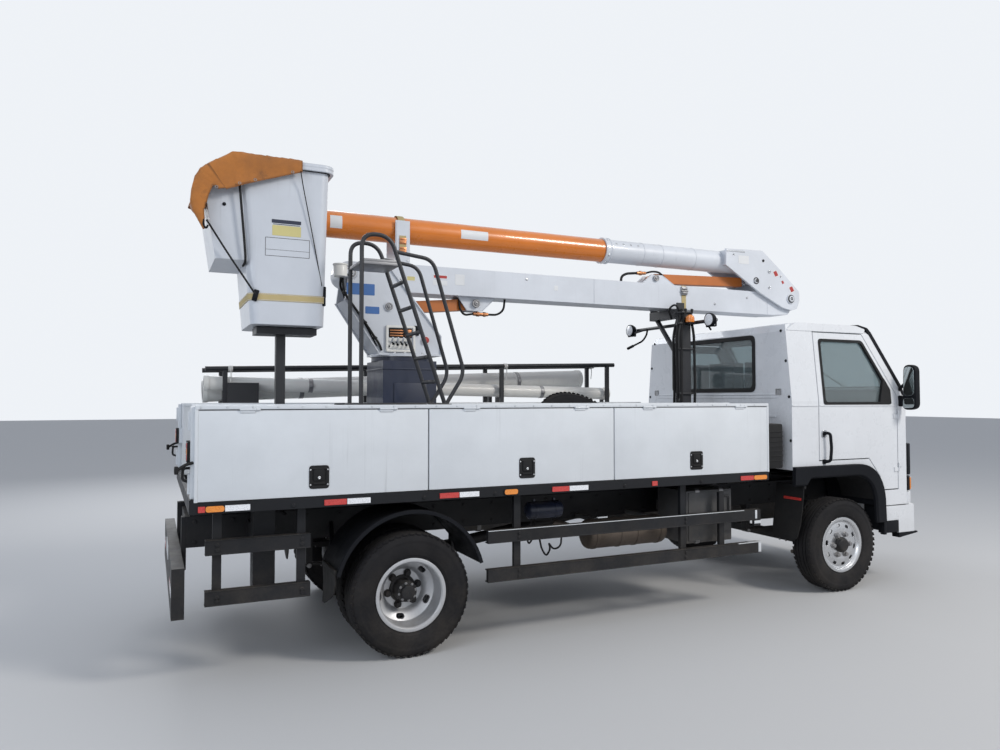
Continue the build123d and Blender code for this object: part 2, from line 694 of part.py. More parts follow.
with BuildPart() as lower_boom:
    block(-50, 4040, -boom_half_width, boom_half_width, boom_bottom, boom_top)
    profile_y(((3990, boom_bottom), (4225, 2500), (4295, 2585), (4300, 2655), (4268, 2700),
               (3990, boom_top)), -boom_half_width, boom_half_width)
    block(-195, -50, -boom_half_width, boom_half_width, 2512, 2698)
    across(*shoulder, -boom_half_width, boom_half_width, 93)
    block(30, 3960, -boom_half_width + boom_wall, boom_half_width - boom_wall,
          boom_bottom + boom_wall, boom_top - boom_wall, mode=Mode.SUBTRACT)
    across(*shoulder, -130, 130, 24 + pin_clearance, mode=Mode.SUBTRACT)
    across(*elbow, -130, 130, 30 + pin_clearance, mode=Mode.SUBTRACT)
    for side in (-1, 1):
        profile_y(((700, boom_bottom), (783, 2378), (915, 2378), (1032, boom_bottom)),
                  side * 50, side * 66)
        across(*lower_eye, side * 50, side * 84, 24)
        profile_y(((2500, boom_top), (2610, 2800), (2730, 2800), (2885, boom_top)),
                  side * 50, side * 66)
        block(160, 276, side * 112, side * 124, boom_top, 3045)
    across(*upper_base, -78, 78, 18)
    block(160, 276, -124, 124, boom_top, boom_top + 14)
save(lower_boom.part, "lower_boom")

lower_length = hypot(lower_eye[0] - lower_base[0], lower_eye[1] - lower_base[1])
upper_length = hypot(upper_eye[0] - upper_base[0], upper_eye[1] - upper_base[1])

with BuildPart() as lower_barrel:
    profile_y((along(lower_base, lower_eye, 20, -46), along(lower_base, lower_eye, 700, -46),
               along(lower_base, lower_eye, 640, 46), along(lower_base, lower_eye, 20, 46)),
              -44, 44)
    across(*lower_base, -44, 44, 44)
    across(*lower_base, -50, 50, 22 + pin_clearance, mode=Mode.SUBTRACT)
    foot, head = along(lower_base, lower_eye, 80), along(lower_base, lower_eye, 710)
    bar((foot[0], 0, foot[1]), (head[0], 0, head[1]), 26, mode=Mode.SUBTRACT)
save(lower_barrel.part, "lower_barrel")

with BuildPart() as lower_rod:
    foot = along(lower_base, lower_eye, 95)
    bar((foot[0], 0, foot[1]), (lower_eye[0], 0, lower_eye[1]), 26 - pin_clearance)
    across(*lower_eye, -38, 38, 38)
    across(*lower_eye, -40, 40, 24, mode=Mode.SUBTRACT)
save(lower_rod.part, "lower_rod")

with BuildPart() as upper_barrel:
    profile_y((along(upper_base, upper_eye, 60, -44), along(upper_base, upper_eye, 1050, -44),
               along(upper_base, upper_eye, 1050, 44), along(upper_base, upper_eye, 10, 44)),
              -44, 44)
    across(*upper_base, -44, 44, 36)
    across(*upper_base, -50, 50, 18 + pin_clearance, mode=Mode.SUBTRACT)
    foot, head = along(upper_base, upper_eye, 80), along(upper_base, upper_eye, 1060)
    bar((foot[0], 0, foot[1]), (head[0], 0, head[1]), 26, mode=Mode.SUBTRACT)
save(upper_barrel.part, "upper_barrel")

with BuildPart() as upper_rod:
    foot = along(upper_base, upper_eye, 95)
    bar((foot[0], 0, foot[1]), (upper_eye[0], 0, upper_eye[1]), 26 - pin_clearance)
    across(*upper_eye, -38, 38, 34)
    across(*upper_eye, -40, 40, 24, mode=Mode.SUBTRACT)
save(upper_rod.part, "upper_rod")

elbow_plate = (
    (3411, 3093), (3862, 3107), (4068, 2955), (4344, 2732), (4346, 2640), (4310, 2560),
    (4240, 2540), (4126, 2561), (3829, 2693), (3408, 2936),
)
with BuildPart() as boom_elbow:
    with Locations((RA + (ring_rear + steel_tube_front) / 2, 0, upper_boom_z)):
        Cylinder(upper_boom_radius, steel_tube_front - ring_rear, rotation=(0, 90, 0))
    with Locations((RA + (ring_rear + ring_front) / 2, 0, upper_boom_z)):
        Cylinder(upper_boom_radius + 9, ring_front - ring_rear, rotation=(0, 90, 0))
    for side in (-1, 1):
        near, far = side * plate_y, side * (plate_y + plate_thickness)
        profile_y(elbow_plate, near, far)
        across(*elbow, far, far + side * 10, 48)
        across(*upper_eye, side * 46, far + side * 8, 24)
    for x in (3425, 3870):
        block(x, x + 14, -plate_y, plate_y, 2940, 3085)
    profile_y(((3862, 3107), (4068, 2955), (4190, 2857), (4184, 2849), (4062, 2945),
               (3860, 3095)), -plate_y, plate_y)
    across(*elbow, -180, 180, 30)
    # Hose guard along the far plate's front edge
    profile_y(((4060, 2975), (4352, 2758), (4366, 2732), (4366, 2640), (4354, 2640), (4354, 2728),
               (4343, 2745), (4068, 2955), (4052, 2963)), plate_y, 232)
save(boom_elbow.part, "boom_elbow")

with BuildPart() as insulated_boom:
    with Locations((RA + (upper_boom_rear + ring_rear) / 2, 0, upper_boom_z)):
        Cylinder(upper_boom_radius - 2, ring_rear - upper_boom_rear, rotation=(0, 90, 0))
        Cylinder(upper_boom_radius - 14, ring_rear - upper_boom_rear,
                 rotation=(0, 90, 0), mode=Mode.SUBTRACT)
    across(bucket_x, bucket_pin_z, -120, 120, 35 + pin_clearance, mode=Mode.SUBTRACT)
save(insulated_boom.part, "insulated_boom")

with BuildPart() as bucket_bracket:
    across(bucket_x, bucket_pin_z, -160, 125, 35)
    across(bucket_x, bucket_pin_z, -160, -112, 58)
    across(bucket_x, bucket_pin_z, 110, 128, 52)
    block(-900, -620, bucket_far, -155, 2640, 3100)
save(bucket_bracket.part, "bucket_bracket")

# Bucket: height, rear, front and near side of each section
bucket_table = ((bucket_floor, -974.0, -512.0, -762.0), (bucket_rim, -1062.0, -493.0, -800.0))
with BuildPart() as bucket:
    for height, rear, front, near in bucket_table:
        with BuildSketch(Plane.XY.offset(height)):
            with Locations((RA + (rear + front) / 2, (near + bucket_far) / 2)):
                RectangleRounded(front - rear, bucket_far - near, 55)
    loft()
    profile_y(((-1268, 3050), (-1190, 2530), (-1000, 2530), (-1040, 3050)), -770, -205)
    profile_y(((-1255, 3060), (-1180, 2546), (-1024, 2546), (-1068, 3060)), -758, -217,
              mode=Mode.SUBTRACT)
    with BuildSketch(Plane.XY.offset(bucket_rim - 15)):
        with Locations((RA - 777.5, (bucket_near + bucket_far) / 2)):
            RectangleRounded(633, 680, 80)
    extrude(amount=45)
    for height, rear, front, near in bucket_table:
        level = height + (25 if height == bucket_floor else 60)
        with BuildSketch(Plane.XY.offset(level)):
            with Locations((RA + (rear + front) / 2, (near + bucket_far) / 2)):
                RectangleRounded(front - rear - 2 * bucket_wall,
                                 bucket_far - near - 2 * bucket_wall, 45)
    loft(mode=Mode.SUBTRACT)
save(bucket.part, "bucket")

cover_low = bucket_rim + 30 + cushion_gap
with BuildPart() as bucket_cover:
    profile_y(((-1318, 3120), (-1102, cover_low + 6), (-690, cover_low + 6),
               (-690, cover_low), (-1104, cover_low), (-1310, 3112), (-1333, 2960),
               (-1272, 2742), (-1278, 2740), (-1340, 2960)), -834, -138)
    profile_y(((-1318, 3120), (-1102, cover_low + 6), (-690, cover_low + 6),
               (-690, 3142), (-1060, 3052), (-1300, 2990)), -840, -834)
    profile_y(((-1318, 3120), (-1102, cover_low + 6), (-690, cover_low + 6),
               (-690, 3150), (-1060, 3110), (-1300, 3060)), -138, -132)
save(bucket_cover.part, "bucket_cover")
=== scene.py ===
import bmesh
import bpy
from math import cos, hypot, pi, radians, sin
from mathutils import Matrix, Vector, noise


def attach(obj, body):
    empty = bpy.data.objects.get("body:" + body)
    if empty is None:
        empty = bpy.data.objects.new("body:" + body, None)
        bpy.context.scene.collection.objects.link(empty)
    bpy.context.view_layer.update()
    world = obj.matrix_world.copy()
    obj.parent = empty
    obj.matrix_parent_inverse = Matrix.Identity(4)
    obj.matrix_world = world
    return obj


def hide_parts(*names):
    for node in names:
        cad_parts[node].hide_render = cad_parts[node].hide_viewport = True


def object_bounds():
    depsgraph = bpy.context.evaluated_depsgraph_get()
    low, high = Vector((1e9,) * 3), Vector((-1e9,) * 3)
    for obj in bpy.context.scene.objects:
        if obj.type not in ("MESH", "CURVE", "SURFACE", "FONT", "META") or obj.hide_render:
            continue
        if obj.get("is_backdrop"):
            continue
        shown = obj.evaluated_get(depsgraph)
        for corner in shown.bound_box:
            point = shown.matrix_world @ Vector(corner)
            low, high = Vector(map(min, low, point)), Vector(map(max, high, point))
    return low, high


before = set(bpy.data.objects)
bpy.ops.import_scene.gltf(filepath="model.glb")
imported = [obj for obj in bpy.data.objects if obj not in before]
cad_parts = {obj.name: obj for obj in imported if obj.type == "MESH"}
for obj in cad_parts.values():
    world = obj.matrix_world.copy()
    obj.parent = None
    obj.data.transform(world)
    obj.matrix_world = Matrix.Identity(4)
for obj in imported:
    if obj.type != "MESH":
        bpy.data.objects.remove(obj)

cad_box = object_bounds()

bl_info = {
    "name": "Cherry Picker Truck",
    "version": (1, 0, 0),
    "blender": (4, 5, 0),
    "location": "View3D > Sidebar > Truck",
    "description": "Dresses a cherry picker truck with its finishes and fittings",
    "category": "Object",
}

# Places are written as millimetres ahead of the rear axle, to the left, and above the ground
REAR_AXLE = -1770.0
# Distances and heights that several pieces share, in the same millimetres
FRONT_AXLE = 3900
HUB_HEIGHT = 399
BODY_SIDE = 1100
CAB_SIDE, CAB_BELT, CAB_LEAN = 1000, 1640, 70 / 678
SCREEN_FOOT, SCREEN_SLOPE = (4700, 1740), (-0.5617, 0.8274)
BOOM_AXIS = 2990
BUCKET_FLOOR, BUCKET_HEIGHT = 2135, 1015
BEACON = (2830, -335)
# Radius at which a turned profile counts as lying on its axis
ON_AXIS = 0.5


def at(x, y, z):
    """A place in metres, from millimetres with x measured from the rear axle."""
    return Vector(((REAR_AXLE + x) / 1000, y / 1000, z / 1000))


class TruckSizes(bpy.types.PropertyGroup):
    tread_lugs: bpy.props.IntProperty(
        name="Tread lugs", description="Shoulder lugs round each tyre", default=54, min=12)
    bolt_head: bpy.props.FloatProperty(
        name="Bolt head", description="Radius of a frame bolt's head",
        default=0.0105, unit="LENGTH")
    bolt_height: bpy.props.FloatProperty(
        name="Bolt height", description="Height of a frame bolt's head",
        default=0.008, unit="LENGTH")
    hose_radius: bpy.props.FloatProperty(
        name="Hose", description="Radius of a hydraulic hose", default=0.009, unit="LENGTH")
    weave_pitch: bpy.props.FloatProperty(
        name="Canvas weave", description="Distance between the canvas cover's threads",
        default=0.0022, unit="LENGTH")
    dust_height: bpy.props.FloatProperty(
        name="Dust line", description="Height up to which road dust settles",
        default=0.95, unit="LENGTH")


def colour(name, about, value):
    return bpy.props.FloatVectorProperty(
        name=name, description=about, subtype="COLOR", size=3, default=value, min=0, max=1)


class TruckColours(bpy.types.PropertyGroup):
    cab_white: colour("Cab white", "Paint of the cab", (0.74, 0.76, 0.79))
    body_white: colour("Body white", "Paint of the lockers", (0.70, 0.73, 0.76))
    arm_white: colour("Arm white", "Paint of the arm's steel", (0.66, 0.69, 0.74))
    frame_black: colour("Frame black", "Paint of the frame and guards", (0.010, 0.011, 0.014))
    navy: colour("Navy", "Paint of the pedestal", (0.014, 0.021, 0.048))
    boom_orange: colour("Boom orange", "Gel coat of the insulated boom", (0.70, 0.19, 0.012))
    # The covers' orange is darker and browner than the boom's: painted shade, as the covers lie in
    # shadow
    cover_orange: colour("Cover orange", "Paint of the cylinder covers, darkened and browned by painted shade", (0.50, 0.145, 0.022))
    bucket_grey: colour("Bucket grey", "Gel coat of the bucket", (0.60, 0.63, 0.68))
    canvas: colour("Canvas", "Cloth of the bucket's cover", (0.42, 0.15, 0.026))
    rubber: colour("Rubber", "Tyres, flaps and seals", (0.012, 0.012, 0.014))
    plastic: colour("Plastic", "Unpainted trim of the cab", (0.012, 0.013, 0.016))
    dust: colour("Dust", "Road dust", (0.24, 0.20, 0.155))


def sizes():
    return bpy.context.scene.truck_sizes


def colours():
    return bpy.context.scene.truck_colours


# Node helpers

SOCKETS = {float: "NodeSocketFloat", int: "NodeSocketInt", tuple: "NodeSocketVector"}


def new_group(name, inputs, outputs, kind="ShaderNodeTree"):
    """A node group with named sockets, and its input and output nodes."""
    group = bpy.data.node_groups.new(name, kind)
    for label, value in inputs.items():
        socket = group.interface.new_socket(
            label, in_out="INPUT", socket_type=SOCKETS.get(type(value), "NodeSocket" + label))
        if value is not None:
            socket.default_value = value
    for label, form in outputs.items():
        group.interface.new_socket(label, in_out="OUTPUT", socket_type="NodeSocket" + form)
    return group, group.nodes.new("NodeGroupInput"), group.nodes.new("NodeGroupOutput")


def feed(tree, node, inputs):
    """Sets inputs of a node: each takes a value, a socket, or a node's first output."""
    for key, value in inputs.items():
        if isinstance(value, bpy.types.Node):
            value = value.outputs[0]
        if isinstance(value, bpy.types.NodeSocket):
            tree.links.new(value, node.inputs[key])
        elif value is not None:
            node.inputs[key].default_value = value
    return node


def add(tree, kind, inputs=None, **settings):
    """A new node with its settings and its inputs."""
    node = tree.nodes.new(kind)
    for key, value in settings.items():
        setattr(node, key, value)
    return feed(tree, node, inputs or {})


def maths(tree, kind, a, b=None, clamp=False):
    return add(tree, "ShaderNodeMath", {0: a, 1: b}, operation=kind, use_clamp=clamp).outputs[0]


def times(tree, a, b, clamp=False):
    return maths(tree, "MULTIPLY", a, b, clamp)


def plus(tree, a, b, clamp=False):
    return maths(tree, "ADD", a, b, clamp)


def cloud(tree, scale, detail=4.0, rough=0.55, stretch=None):
    """Noise in Object coordinates, drawn out along an axis where stretch is given."""
    place = add(tree, "ShaderNodeTexCoord").outputs["Object"]
    if stretch:
        place = add(tree, "ShaderNodeMapping", {"Scale": stretch, "Vector": place})
    return add(tree, "ShaderNodeTexNoise", {
        "Scale": scale, "Detail": detail, "Roughness": rough, "Vector": place}).outputs["Fac"]


def ramp(tree, value, low, high):
    return add(tree, "ShaderNodeMapRange", {"From Min": low, "From Max": high, "Value": value},
               clamp=True, interpolation_type="SMOOTHSTEP").outputs["Result"]


def blend(tree, mask, *tones):
    """Mixes two colours, each a socket or its three numbers, by a mask."""
    a, b = (tone if isinstance(tone, bpy.types.NodeSocket) else (*tone[:3], 1) for tone in tones)
    return add(tree, "ShaderNodeMix", {0: mask, 6: a, 7: b}, data_type="RGBA").outputs[2]


def bumped(tree, height, strength, distance, normal=None):
    return add(tree, "ShaderNodeBump", {"Strength": strength, "Distance": distance,
                                        "Height": height, "Normal": normal}).outputs["Normal"]


# Shader groups

def edge_wear_group():
    """Masks the worn edges of a piece, from the turn of its rounded normal."""
    group, inside, outside = new_group("edge_wear", {"Radius": 0.004, "Amount": 0.5},
                                       {"Mask": "Float", "Normal": "Vector"})
    rounded = add(group, "ShaderNodeBevel", {"Radius": inside.outputs["Radius"]}, samples=4)
    flat = add(group, "ShaderNodeNewGeometry").outputs["True Normal"]
    dot = add(group, "ShaderNodeVectorMath", {0: rounded, 1: flat}, operation="DOT_PRODUCT")
    edge = ramp(group, maths(group, "SUBTRACT", 1.0, dot.outputs["Value"]), 0.02, 0.30)
    mask = times(group, edge, ramp(group, cloud(group, 26, 6, 0.7), 0.50, 0.66))
    mask = times(group, mask, inside.outputs["Amount"], clamp=True)
    feed(group, outside, {"Mask": mask, "Normal": rounded})
    return group


def road_dust_group():
    """Masks dust that settles low on the truck, in patches, and on faces that look up."""
    group, inside, outside = new_group(
        "road_dust", {"Height": 0.9, "Amount": 0.5, "On top": 0.3}, {"Mask": "Float"})
    facing = add(group, "ShaderNodeNewGeometry").outputs["Normal"]
    place = add(group, "ShaderNodeSeparateXYZ",
                {0: add(group, "ShaderNodeTexCoord").outputs["Object"]})
    facing = add(group, "ShaderNodeSeparateXYZ", {0: facing})
    low = maths(group, "SUBTRACT", inside.outputs["Height"], place.outputs["Z"])
    low = times(group, low, 1.3, clamp=True)
    top = times(group, ramp(group, facing.outputs["Z"], 0.6, 1.0), inside.outputs["On top"])
    patches = ramp(group, cloud(group, 5.5, 7, 0.62), 0.30, 0.72)
    fine = ramp(group, cloud(group, 60, 3, 0.6), 0.25, 0.75)
    mask = plus(group, times(group, low, inside.outputs["Amount"]), top)
    speckle = plus(group, times(group, patches, 0.7), times(group, fine, 0.3))
    feed(group, outside, {"Mask": times(group, mask, speckle, clamp=True)})
    return group


def surface_grain_group():
    """Fine height over a surface, such as orange peel, cast skin or moulded grain."""
    group, inside, outside = new_group("surface_grain", {"Scale": 90.0, "Waves": 0.3},
                                       {"Height": "Float"})
    fine = add(group, "ShaderNodeTexNoise", {
        "Detail": 4, "Vector": add(group, "ShaderNodeTexCoord").outputs["Object"],
        "Scale": inside.outputs["Scale"]}).outputs["Fac"]
    slow = times(group, cloud(group, 3.2, 2, 0.5), inside.outputs["Waves"])
    feed(group, outside, {"Height": plus(group, fine, slow)})
    return group


def rain_streaks_group():
    """Rain streaks that run down an upright face."""
    group, inside, outside = new_group("rain_streaks", {"Amount": 0.3}, {"Mask": "Float"})
    thin = ramp(group, cloud(group, 1.0, 5, 0.6, stretch=(46, 46, 1.3)), 0.56, 0.80)
    wide = ramp(group, cloud(group, 2.1, 4, 0.5), 0.42, 0.68)
    mask = times(group, times(group, thin, wide), inside.outputs["Amount"], clamp=True)
    feed(group, outside, {"Mask": mask})
    return group


GROUPS = {"edge_wear": edge_wear_group, "road_dust": road_dust_group,
          "surface_grain": surface_grain_group, "rain_streaks": rain_streaks_group}


def place_group(tree, name, **values):
    """Puts a shared group into a material with its own values."""
    return add(tree, "ShaderNodeGroup",
               {label.replace("_", " "): value for label, value in values.items()},
               node_tree=bpy.data.node_groups.get(name) or GROUPS[name]())


# Materials

def new_material(name):
    """A new material with its tree and its Principled shader."""
    material = bpy.data.materials.new(name)
    material.use_nodes = True
    return material, material.node_tree, material.node_tree.nodes["Principled BSDF"]


def finish(name, base, rough=0.45, metallic=0.0, coat=0.0, shade=0.08, under=None, wear=0.5,
           radius=0.004, dust=0.5, dust_top=0.25, streaks=0.0, grain=90.0, bump=0.05, waves=0.3,
           rough_spread=0.12, shine=0.5):
    """A finish with colour drift, worn edges, streaks, road dust and fine bump."""
    material, tree, shader = new_material(name)
    if isinstance(base, str):
        base = getattr(colours(), base)
    tone = blend(tree, ramp(tree, cloud(tree, 2.4, 5, 0.6), 0.3, 0.7),
                 [c * (1 - shade) for c in base], [min(1, c * (1 + shade * 0.6)) for c in base])
    edge = place_group(tree, "edge_wear", Radius=radius, Amount=wear)
    if streaks:
        run = place_group(tree, "rain_streaks", Amount=streaks)
        tone = blend(tree, run.outputs["Mask"], tone, [c * 0.62 for c in base])
    tone = blend(tree, edge.outputs["Mask"], tone, under or [c * 0.5 for c in base])
    dirt = place_group(tree, "road_dust", Height=sizes().dust_height, Amount=dust,
                       On_top=dust_top).outputs["Mask"]
    tone = blend(tree, dirt, tone, colours().dust)
    smear = times(tree, ramp(tree, cloud(tree, 9, 5, 0.65), 0.3, 0.7), rough_spread)
    rough = plus(tree, plus(tree, smear, rough), times(tree, dirt, 0.3), clamp=True)
    skin = place_group(tree, "surface_grain", Scale=grain, Waves=waves)
    feed(tree, shader, {
        "Metallic": metallic, "Specular IOR Level": shine, "Coat Weight": coat,
        "Coat Roughness": 0.08, "Base Color": tone, "Roughness": rough,
        "Normal": bumped(tree, skin.outputs["Height"], bump, 0.002, edge.outputs["Normal"])})
    return material


# What each finish has of its own; a base in words is one of the add-on's colours
FINISHES = {
    "cab_paint": dict(base="cab_white", rough=0.24, coat=0.6, shade=0.03, under=(0.33, 0.34, 0.36),
        wear=0.10, radius=0.006, dust=0.30, dust_top=0.10, streaks=0.18, grain=70, bump=0.02),
    "locker_paint": dict(base="body_white", rough=0.34, coat=0.3, shade=0.05,
        under=(0.30, 0.20, 0.13), wear=0.35, radius=0.005, dust=0.45, dust_top=0.30, streaks=0.5,
        grain=60, bump=0.05, waves=2.2),
    "arm_paint": dict(base="arm_white", rough=0.33, coat=0.35, shade=0.06,
        under=(0.28, 0.20, 0.14), wear=0.45, radius=0.005, dust=0.2, dust_top=0.25, streaks=0.45,
        grain=60, bump=0.05),
    "frame_paint": dict(base="frame_black", rough=0.42, shade=0.25, under=(0.10, 0.075, 0.06),
        wear=0.6, dust=0.20, dust_top=0.16, grain=120, bump=0.10, shine=0.28),
    "deck_paint": dict(base=(0.017, 0.018, 0.022), rough=0.38, shade=0.2, under=(0.16, 0.12, 0.09),
        wear=0.6, dust=0.25, dust_top=0.30, grain=120, bump=0.08),
    "navy_paint": dict(base="navy", rough=0.36, coat=0.2, shade=0.2, under=(0.16, 0.13, 0.11),
        wear=0.5, dust=0.3, dust_top=0.35, streaks=0.3, grain=100, bump=0.08),
    "boom_gelcoat": dict(base="boom_orange", rough=0.26, coat=0.55, shade=0.10,
        under=(0.62, 0.33, 0.14), wear=0.3, dust=0.1, dust_top=0.22, streaks=0.22, grain=45,
        bump=0.04),
    # The covers' finish carries painted shade through its darkened, browned orange
    "cover_paint": dict(base="cover_orange", rough=0.36, coat=0.2, shade=0.12,
        under=(0.20, 0.13, 0.09), wear=0.5, dust=0.1, dust_top=0.3, streaks=0.35, grain=70,
        bump=0.06),
    "bucket_gelcoat": dict(base="bucket_grey", rough=0.30, coat=0.4, shade=0.05,
        under=(0.42, 0.43, 0.42), wear=0.35, radius=0.006, dust=0.1, dust_top=0.15, streaks=0.45,
        grain=38, bump=0.06, waves=1.2),
    "tyre_rubber": dict(base="rubber", rough=0.72, shade=0.25, wear=0.35,
        under=(0.040, 0.039, 0.039), dust=0.10, dust_top=0.08, grain=160, bump=0.14, shine=0.20),
    "black_rubber": dict(base=(0.016, 0.016, 0.017), rough=0.62, shade=0.2, wear=0.3,
        under=(0.04, 0.038, 0.037), dust=0.10, dust_top=0.12, grain=180, bump=0.12, shine=0.22),
    "trim_plastic": dict(base="plastic", rough=0.48, shade=0.15, wear=0.25,
        under=(0.035, 0.035, 0.036), dust=0.02, dust_top=0.04, grain=420, bump=0.10, shine=0.08),
    "wheel_steel": dict(base=(0.56, 0.57, 0.59), rough=0.34, metallic=0.55, shade=0.10,
        under=(0.16, 0.12, 0.09), wear=0.4, dust=0.30, dust_top=0.2, grain=110, bump=0.07),
    "bright_steel": dict(base=(0.62, 0.63, 0.65), rough=0.20, metallic=1.0, shade=0.08,
        under=(0.30, 0.28, 0.26), wear=0.3, dust=0.12, dust_top=0.15, grain=150, bump=0.04),
    "dull_steel": dict(base=(0.30, 0.30, 0.31), rough=0.42, metallic=0.85, shade=0.15,
        under=(0.16, 0.10, 0.07), wear=0.4, dust=0.35, dust_top=0.3, grain=130, bump=0.08),
    "grey_casting": dict(base=(0.060, 0.060, 0.063), rough=0.60, metallic=0.3, shade=0.2,
        under=(0.16, 0.10, 0.06), wear=0.5, dust=0.8, dust_top=0.5, grain=140, bump=0.2),
    "tank_grey": dict(base=(0.085, 0.086, 0.09), rough=0.5, metallic=0.2, shade=0.2,
        under=(0.18, 0.12, 0.08), wear=0.5, dust=0.7, dust_top=0.5, grain=120, bump=0.1),
    "muffler_steel": dict(base=(0.13, 0.105, 0.09), rough=0.55, metallic=0.7, shade=0.35,
        under=(0.12, 0.06, 0.03), wear=0.7, dust=0.6, dust_top=0.4, grain=90, bump=0.12),
    "tube_paint": dict(base=(0.80, 0.79, 0.75), rough=0.38, coat=0.15, shade=0.05,
        under=(0.46, 0.43, 0.38), wear=0.3, dust=0.15, dust_top=0.22, streaks=0.22, grain=60,
        bump=0.05),
    "copper": dict(base=(0.52, 0.23, 0.11), rough=0.30, metallic=0.9, shade=0.2,
        under=(0.25, 0.13, 0.08), wear=0.4, dust=0.1, dust_top=0.15, grain=110, bump=0.05),
    "mirror_silver": dict(base=(0.34, 0.38, 0.39), rough=0.03, metallic=1.0, shade=0.02, wear=0.05,
        dust=0.05, dust_top=0.1, grain=20, bump=0.004, rough_spread=0.04),
    "seat_cloth": dict(base=(0.055, 0.058, 0.064), rough=0.85, shade=0.12, wear=0.15, dust=0.0,
        dust_top=0.12, grain=700, bump=0.35),
    "decal_white": dict(base=(0.74, 0.75, 0.76), rough=0.42, shade=0.05, wear=0.4, radius=0.002,
        dust=0.1, dust_top=0.2, grain=60, bump=0.02),
    "decal_yellow": dict(base=(0.62, 0.55, 0.24), rough=0.42, shade=0.08, wear=0.4, radius=0.002,
        dust=0.1, dust_top=0.2, grain=60, bump=0.02),
    "decal_blue": dict(base=(0.055, 0.16, 0.42), rough=0.4, shade=0.08, wear=0.4, radius=0.002,
        dust=0.1, dust_top=0.2, grain=60, bump=0.02),
    "decal_red": dict(base=(0.42, 0.035, 0.03), rough=0.4, shade=0.08, wear=0.3, radius=0.002,
        dust=0.1, dust_top=0.2, grain=60, bump=0.02),
    "strap_web": dict(base=(0.50, 0.40, 0.20), rough=0.8, shade=0.15, wear=0.2, radius=0.002,
        dust=0.1, dust_top=0.2, grain=420, bump=0.3),
}


def lens(name, base):
    """A ribbed plastic lens over a reflector."""
    material, tree, shader = new_material(name)
    cell = add(tree, "ShaderNodeTexVoronoi", {
        "Scale": 150, "Vector": add(tree, "ShaderNodeTexCoord").outputs["Object"]})
    cell = cell.outputs["Distance"]
    tone = blend(tree, ramp(tree, cell, 0.0, 0.6), base, [min(1, c * 1.5 + 0.02) for c in base])
    dirt = place_group(tree, "road_dust", Height=1.3, Amount=0.3, On_top=0.2).outputs["Mask"]
    feed(tree, shader, {
        "Coat Weight": 0.8, "Coat Roughness": 0.05,
        "Base Color": blend(tree, dirt, tone, colours().dust),
        "Roughness": plus(tree, times(tree, dirt, 0.4), 0.16),
        "Normal": bumped(tree, cell, 0.25, 0.0015)})
    return material


LENSES = {"ruby_lens": (0.42, 0.015, 0.012), "amber_lens": (0.62, 0.19, 0.01),
          "white_lens": (0.62, 0.63, 0.65)}


def tinted_glass(name):
    """Dark tinted glass that still lets the cabin be seen."""
    material, tree, shader = new_material(name)
    smear = times(tree, ramp(tree, cloud(tree, 7, 5, 0.6), 0.45, 0.75), 0.10)
    feed(tree, shader, {
        "Base Color": (0.46, 0.54, 0.56, 1), "Metallic": 0, "Transmission Weight": 0.82,
        "IOR": 1.45, "Specular IOR Level": 0.6, "Roughness": plus(tree, smear, 0.015)})
    return material


def canvas_cloth(name):
    """Waxed canvas with a weave that follows the cloth, creases and grime."""
    material, tree, shader = new_material(name)
    base = colours().canvas
    place = add(tree, "ShaderNodeUVMap", uv_map="cloth")
    threads = [add(tree, "ShaderNodeTexWave", {
        "Scale": 0.314 / sizes().weave_pitch, "Distortion": 0.6, "Detail": 1, "Vector": place},
        bands_direction=way).outputs["Fac"] for way in ("X", "Y")]
    weave = times(tree, *threads)
    faded = ramp(tree, cloud(tree, 3.4, 6, 0.62), 0.35, 0.68)
    tone = blend(tree, faded, [c * 0.72 for c in base], [min(1, c * 1.18) for c in base])
    tone = blend(tree, times(tree, weave, 0.35), tone, [c * 1.5 for c in base])
    grime = ramp(tree, cloud(tree, 9.0, 8, 0.7), 0.56, 0.74)
    tone = blend(tree, times(tree, grime, 0.55), tone, (0.085, 0.045, 0.02))
    hem = add(tree, "ShaderNodeAttribute", attribute_name="hem").outputs["Fac"]
    tone = blend(tree, hem, tone, [c * 0.42 for c in base])
    threads = bumped(tree, weave, 0.35, 0.0012)
    feed(tree, shader, {
        "Sheen Weight": 0.25, "Sheen Roughness": 0.5, "Base Color": tone,
        "Roughness": plus(tree, times(tree, faded, 0.12), 0.72),
        "Normal": bumped(tree, cloud(tree, 14, 4, 0.55), 0.5, 0.006, threads)})
    return material


def material_of(name):
    """The material of a name, made when it is first asked for."""
    made = bpy.data.materials.get(name)
    if made:
        return made
    if name in LENSES:
        return lens(name, LENSES[name])
    if name in FINISHES:
        return finish(name, **FINISHES[name])
    return {"tinted_glass": tinted_glass, "canvas_cloth": canvas_cloth}[name](name)


# Mesh helpers

# The slot listed for each finish, unless a piece says otherwise
OWN = "own"
SLOTS = {finish: slot for slot, finishes in {
    "rim_steel": ("wheel_steel",),
    "bare_steel": ("bright_steel", "dull_steel", "copper"),
    "chassis_paint": ("frame_paint", "grey_casting", "tank_grey", "muffler_steel"),
    "black_plastic": ("black_rubber", "trim_plastic"),
    "cab_white": ("cab_paint",),
    "glass": ("mirror_silver",),
    "clear_lens": ("white_lens",),
    "arm_white": ("arm_paint",),
    "frp_grey": ("bucket_gelcoat",),
    "deck_black": ("deck_paint",),
    "red_lens": ("amber_lens", "ruby_lens"),
    "body_white": ("locker_paint",),
}.items() for finish in finishes}


def circle(count, radius, start=0.0):
    """Places at equal angles round a circle, as pairs from its middle."""
    turns = [radians(start + 360 * k / count) for k in range(count)]
    return [(radius * cos(a), radius * sin(a)) for a in turns]


def settled(piece):
    """The mesh of an object after its modifiers. The object itself is removed."""
    graph = bpy.context.evaluated_depsgraph_get()
    graph.update()
    data = bpy.data.meshes.new_from_object(piece.evaluated_get(graph))
    bpy.data.objects.remove(piece)
    return data


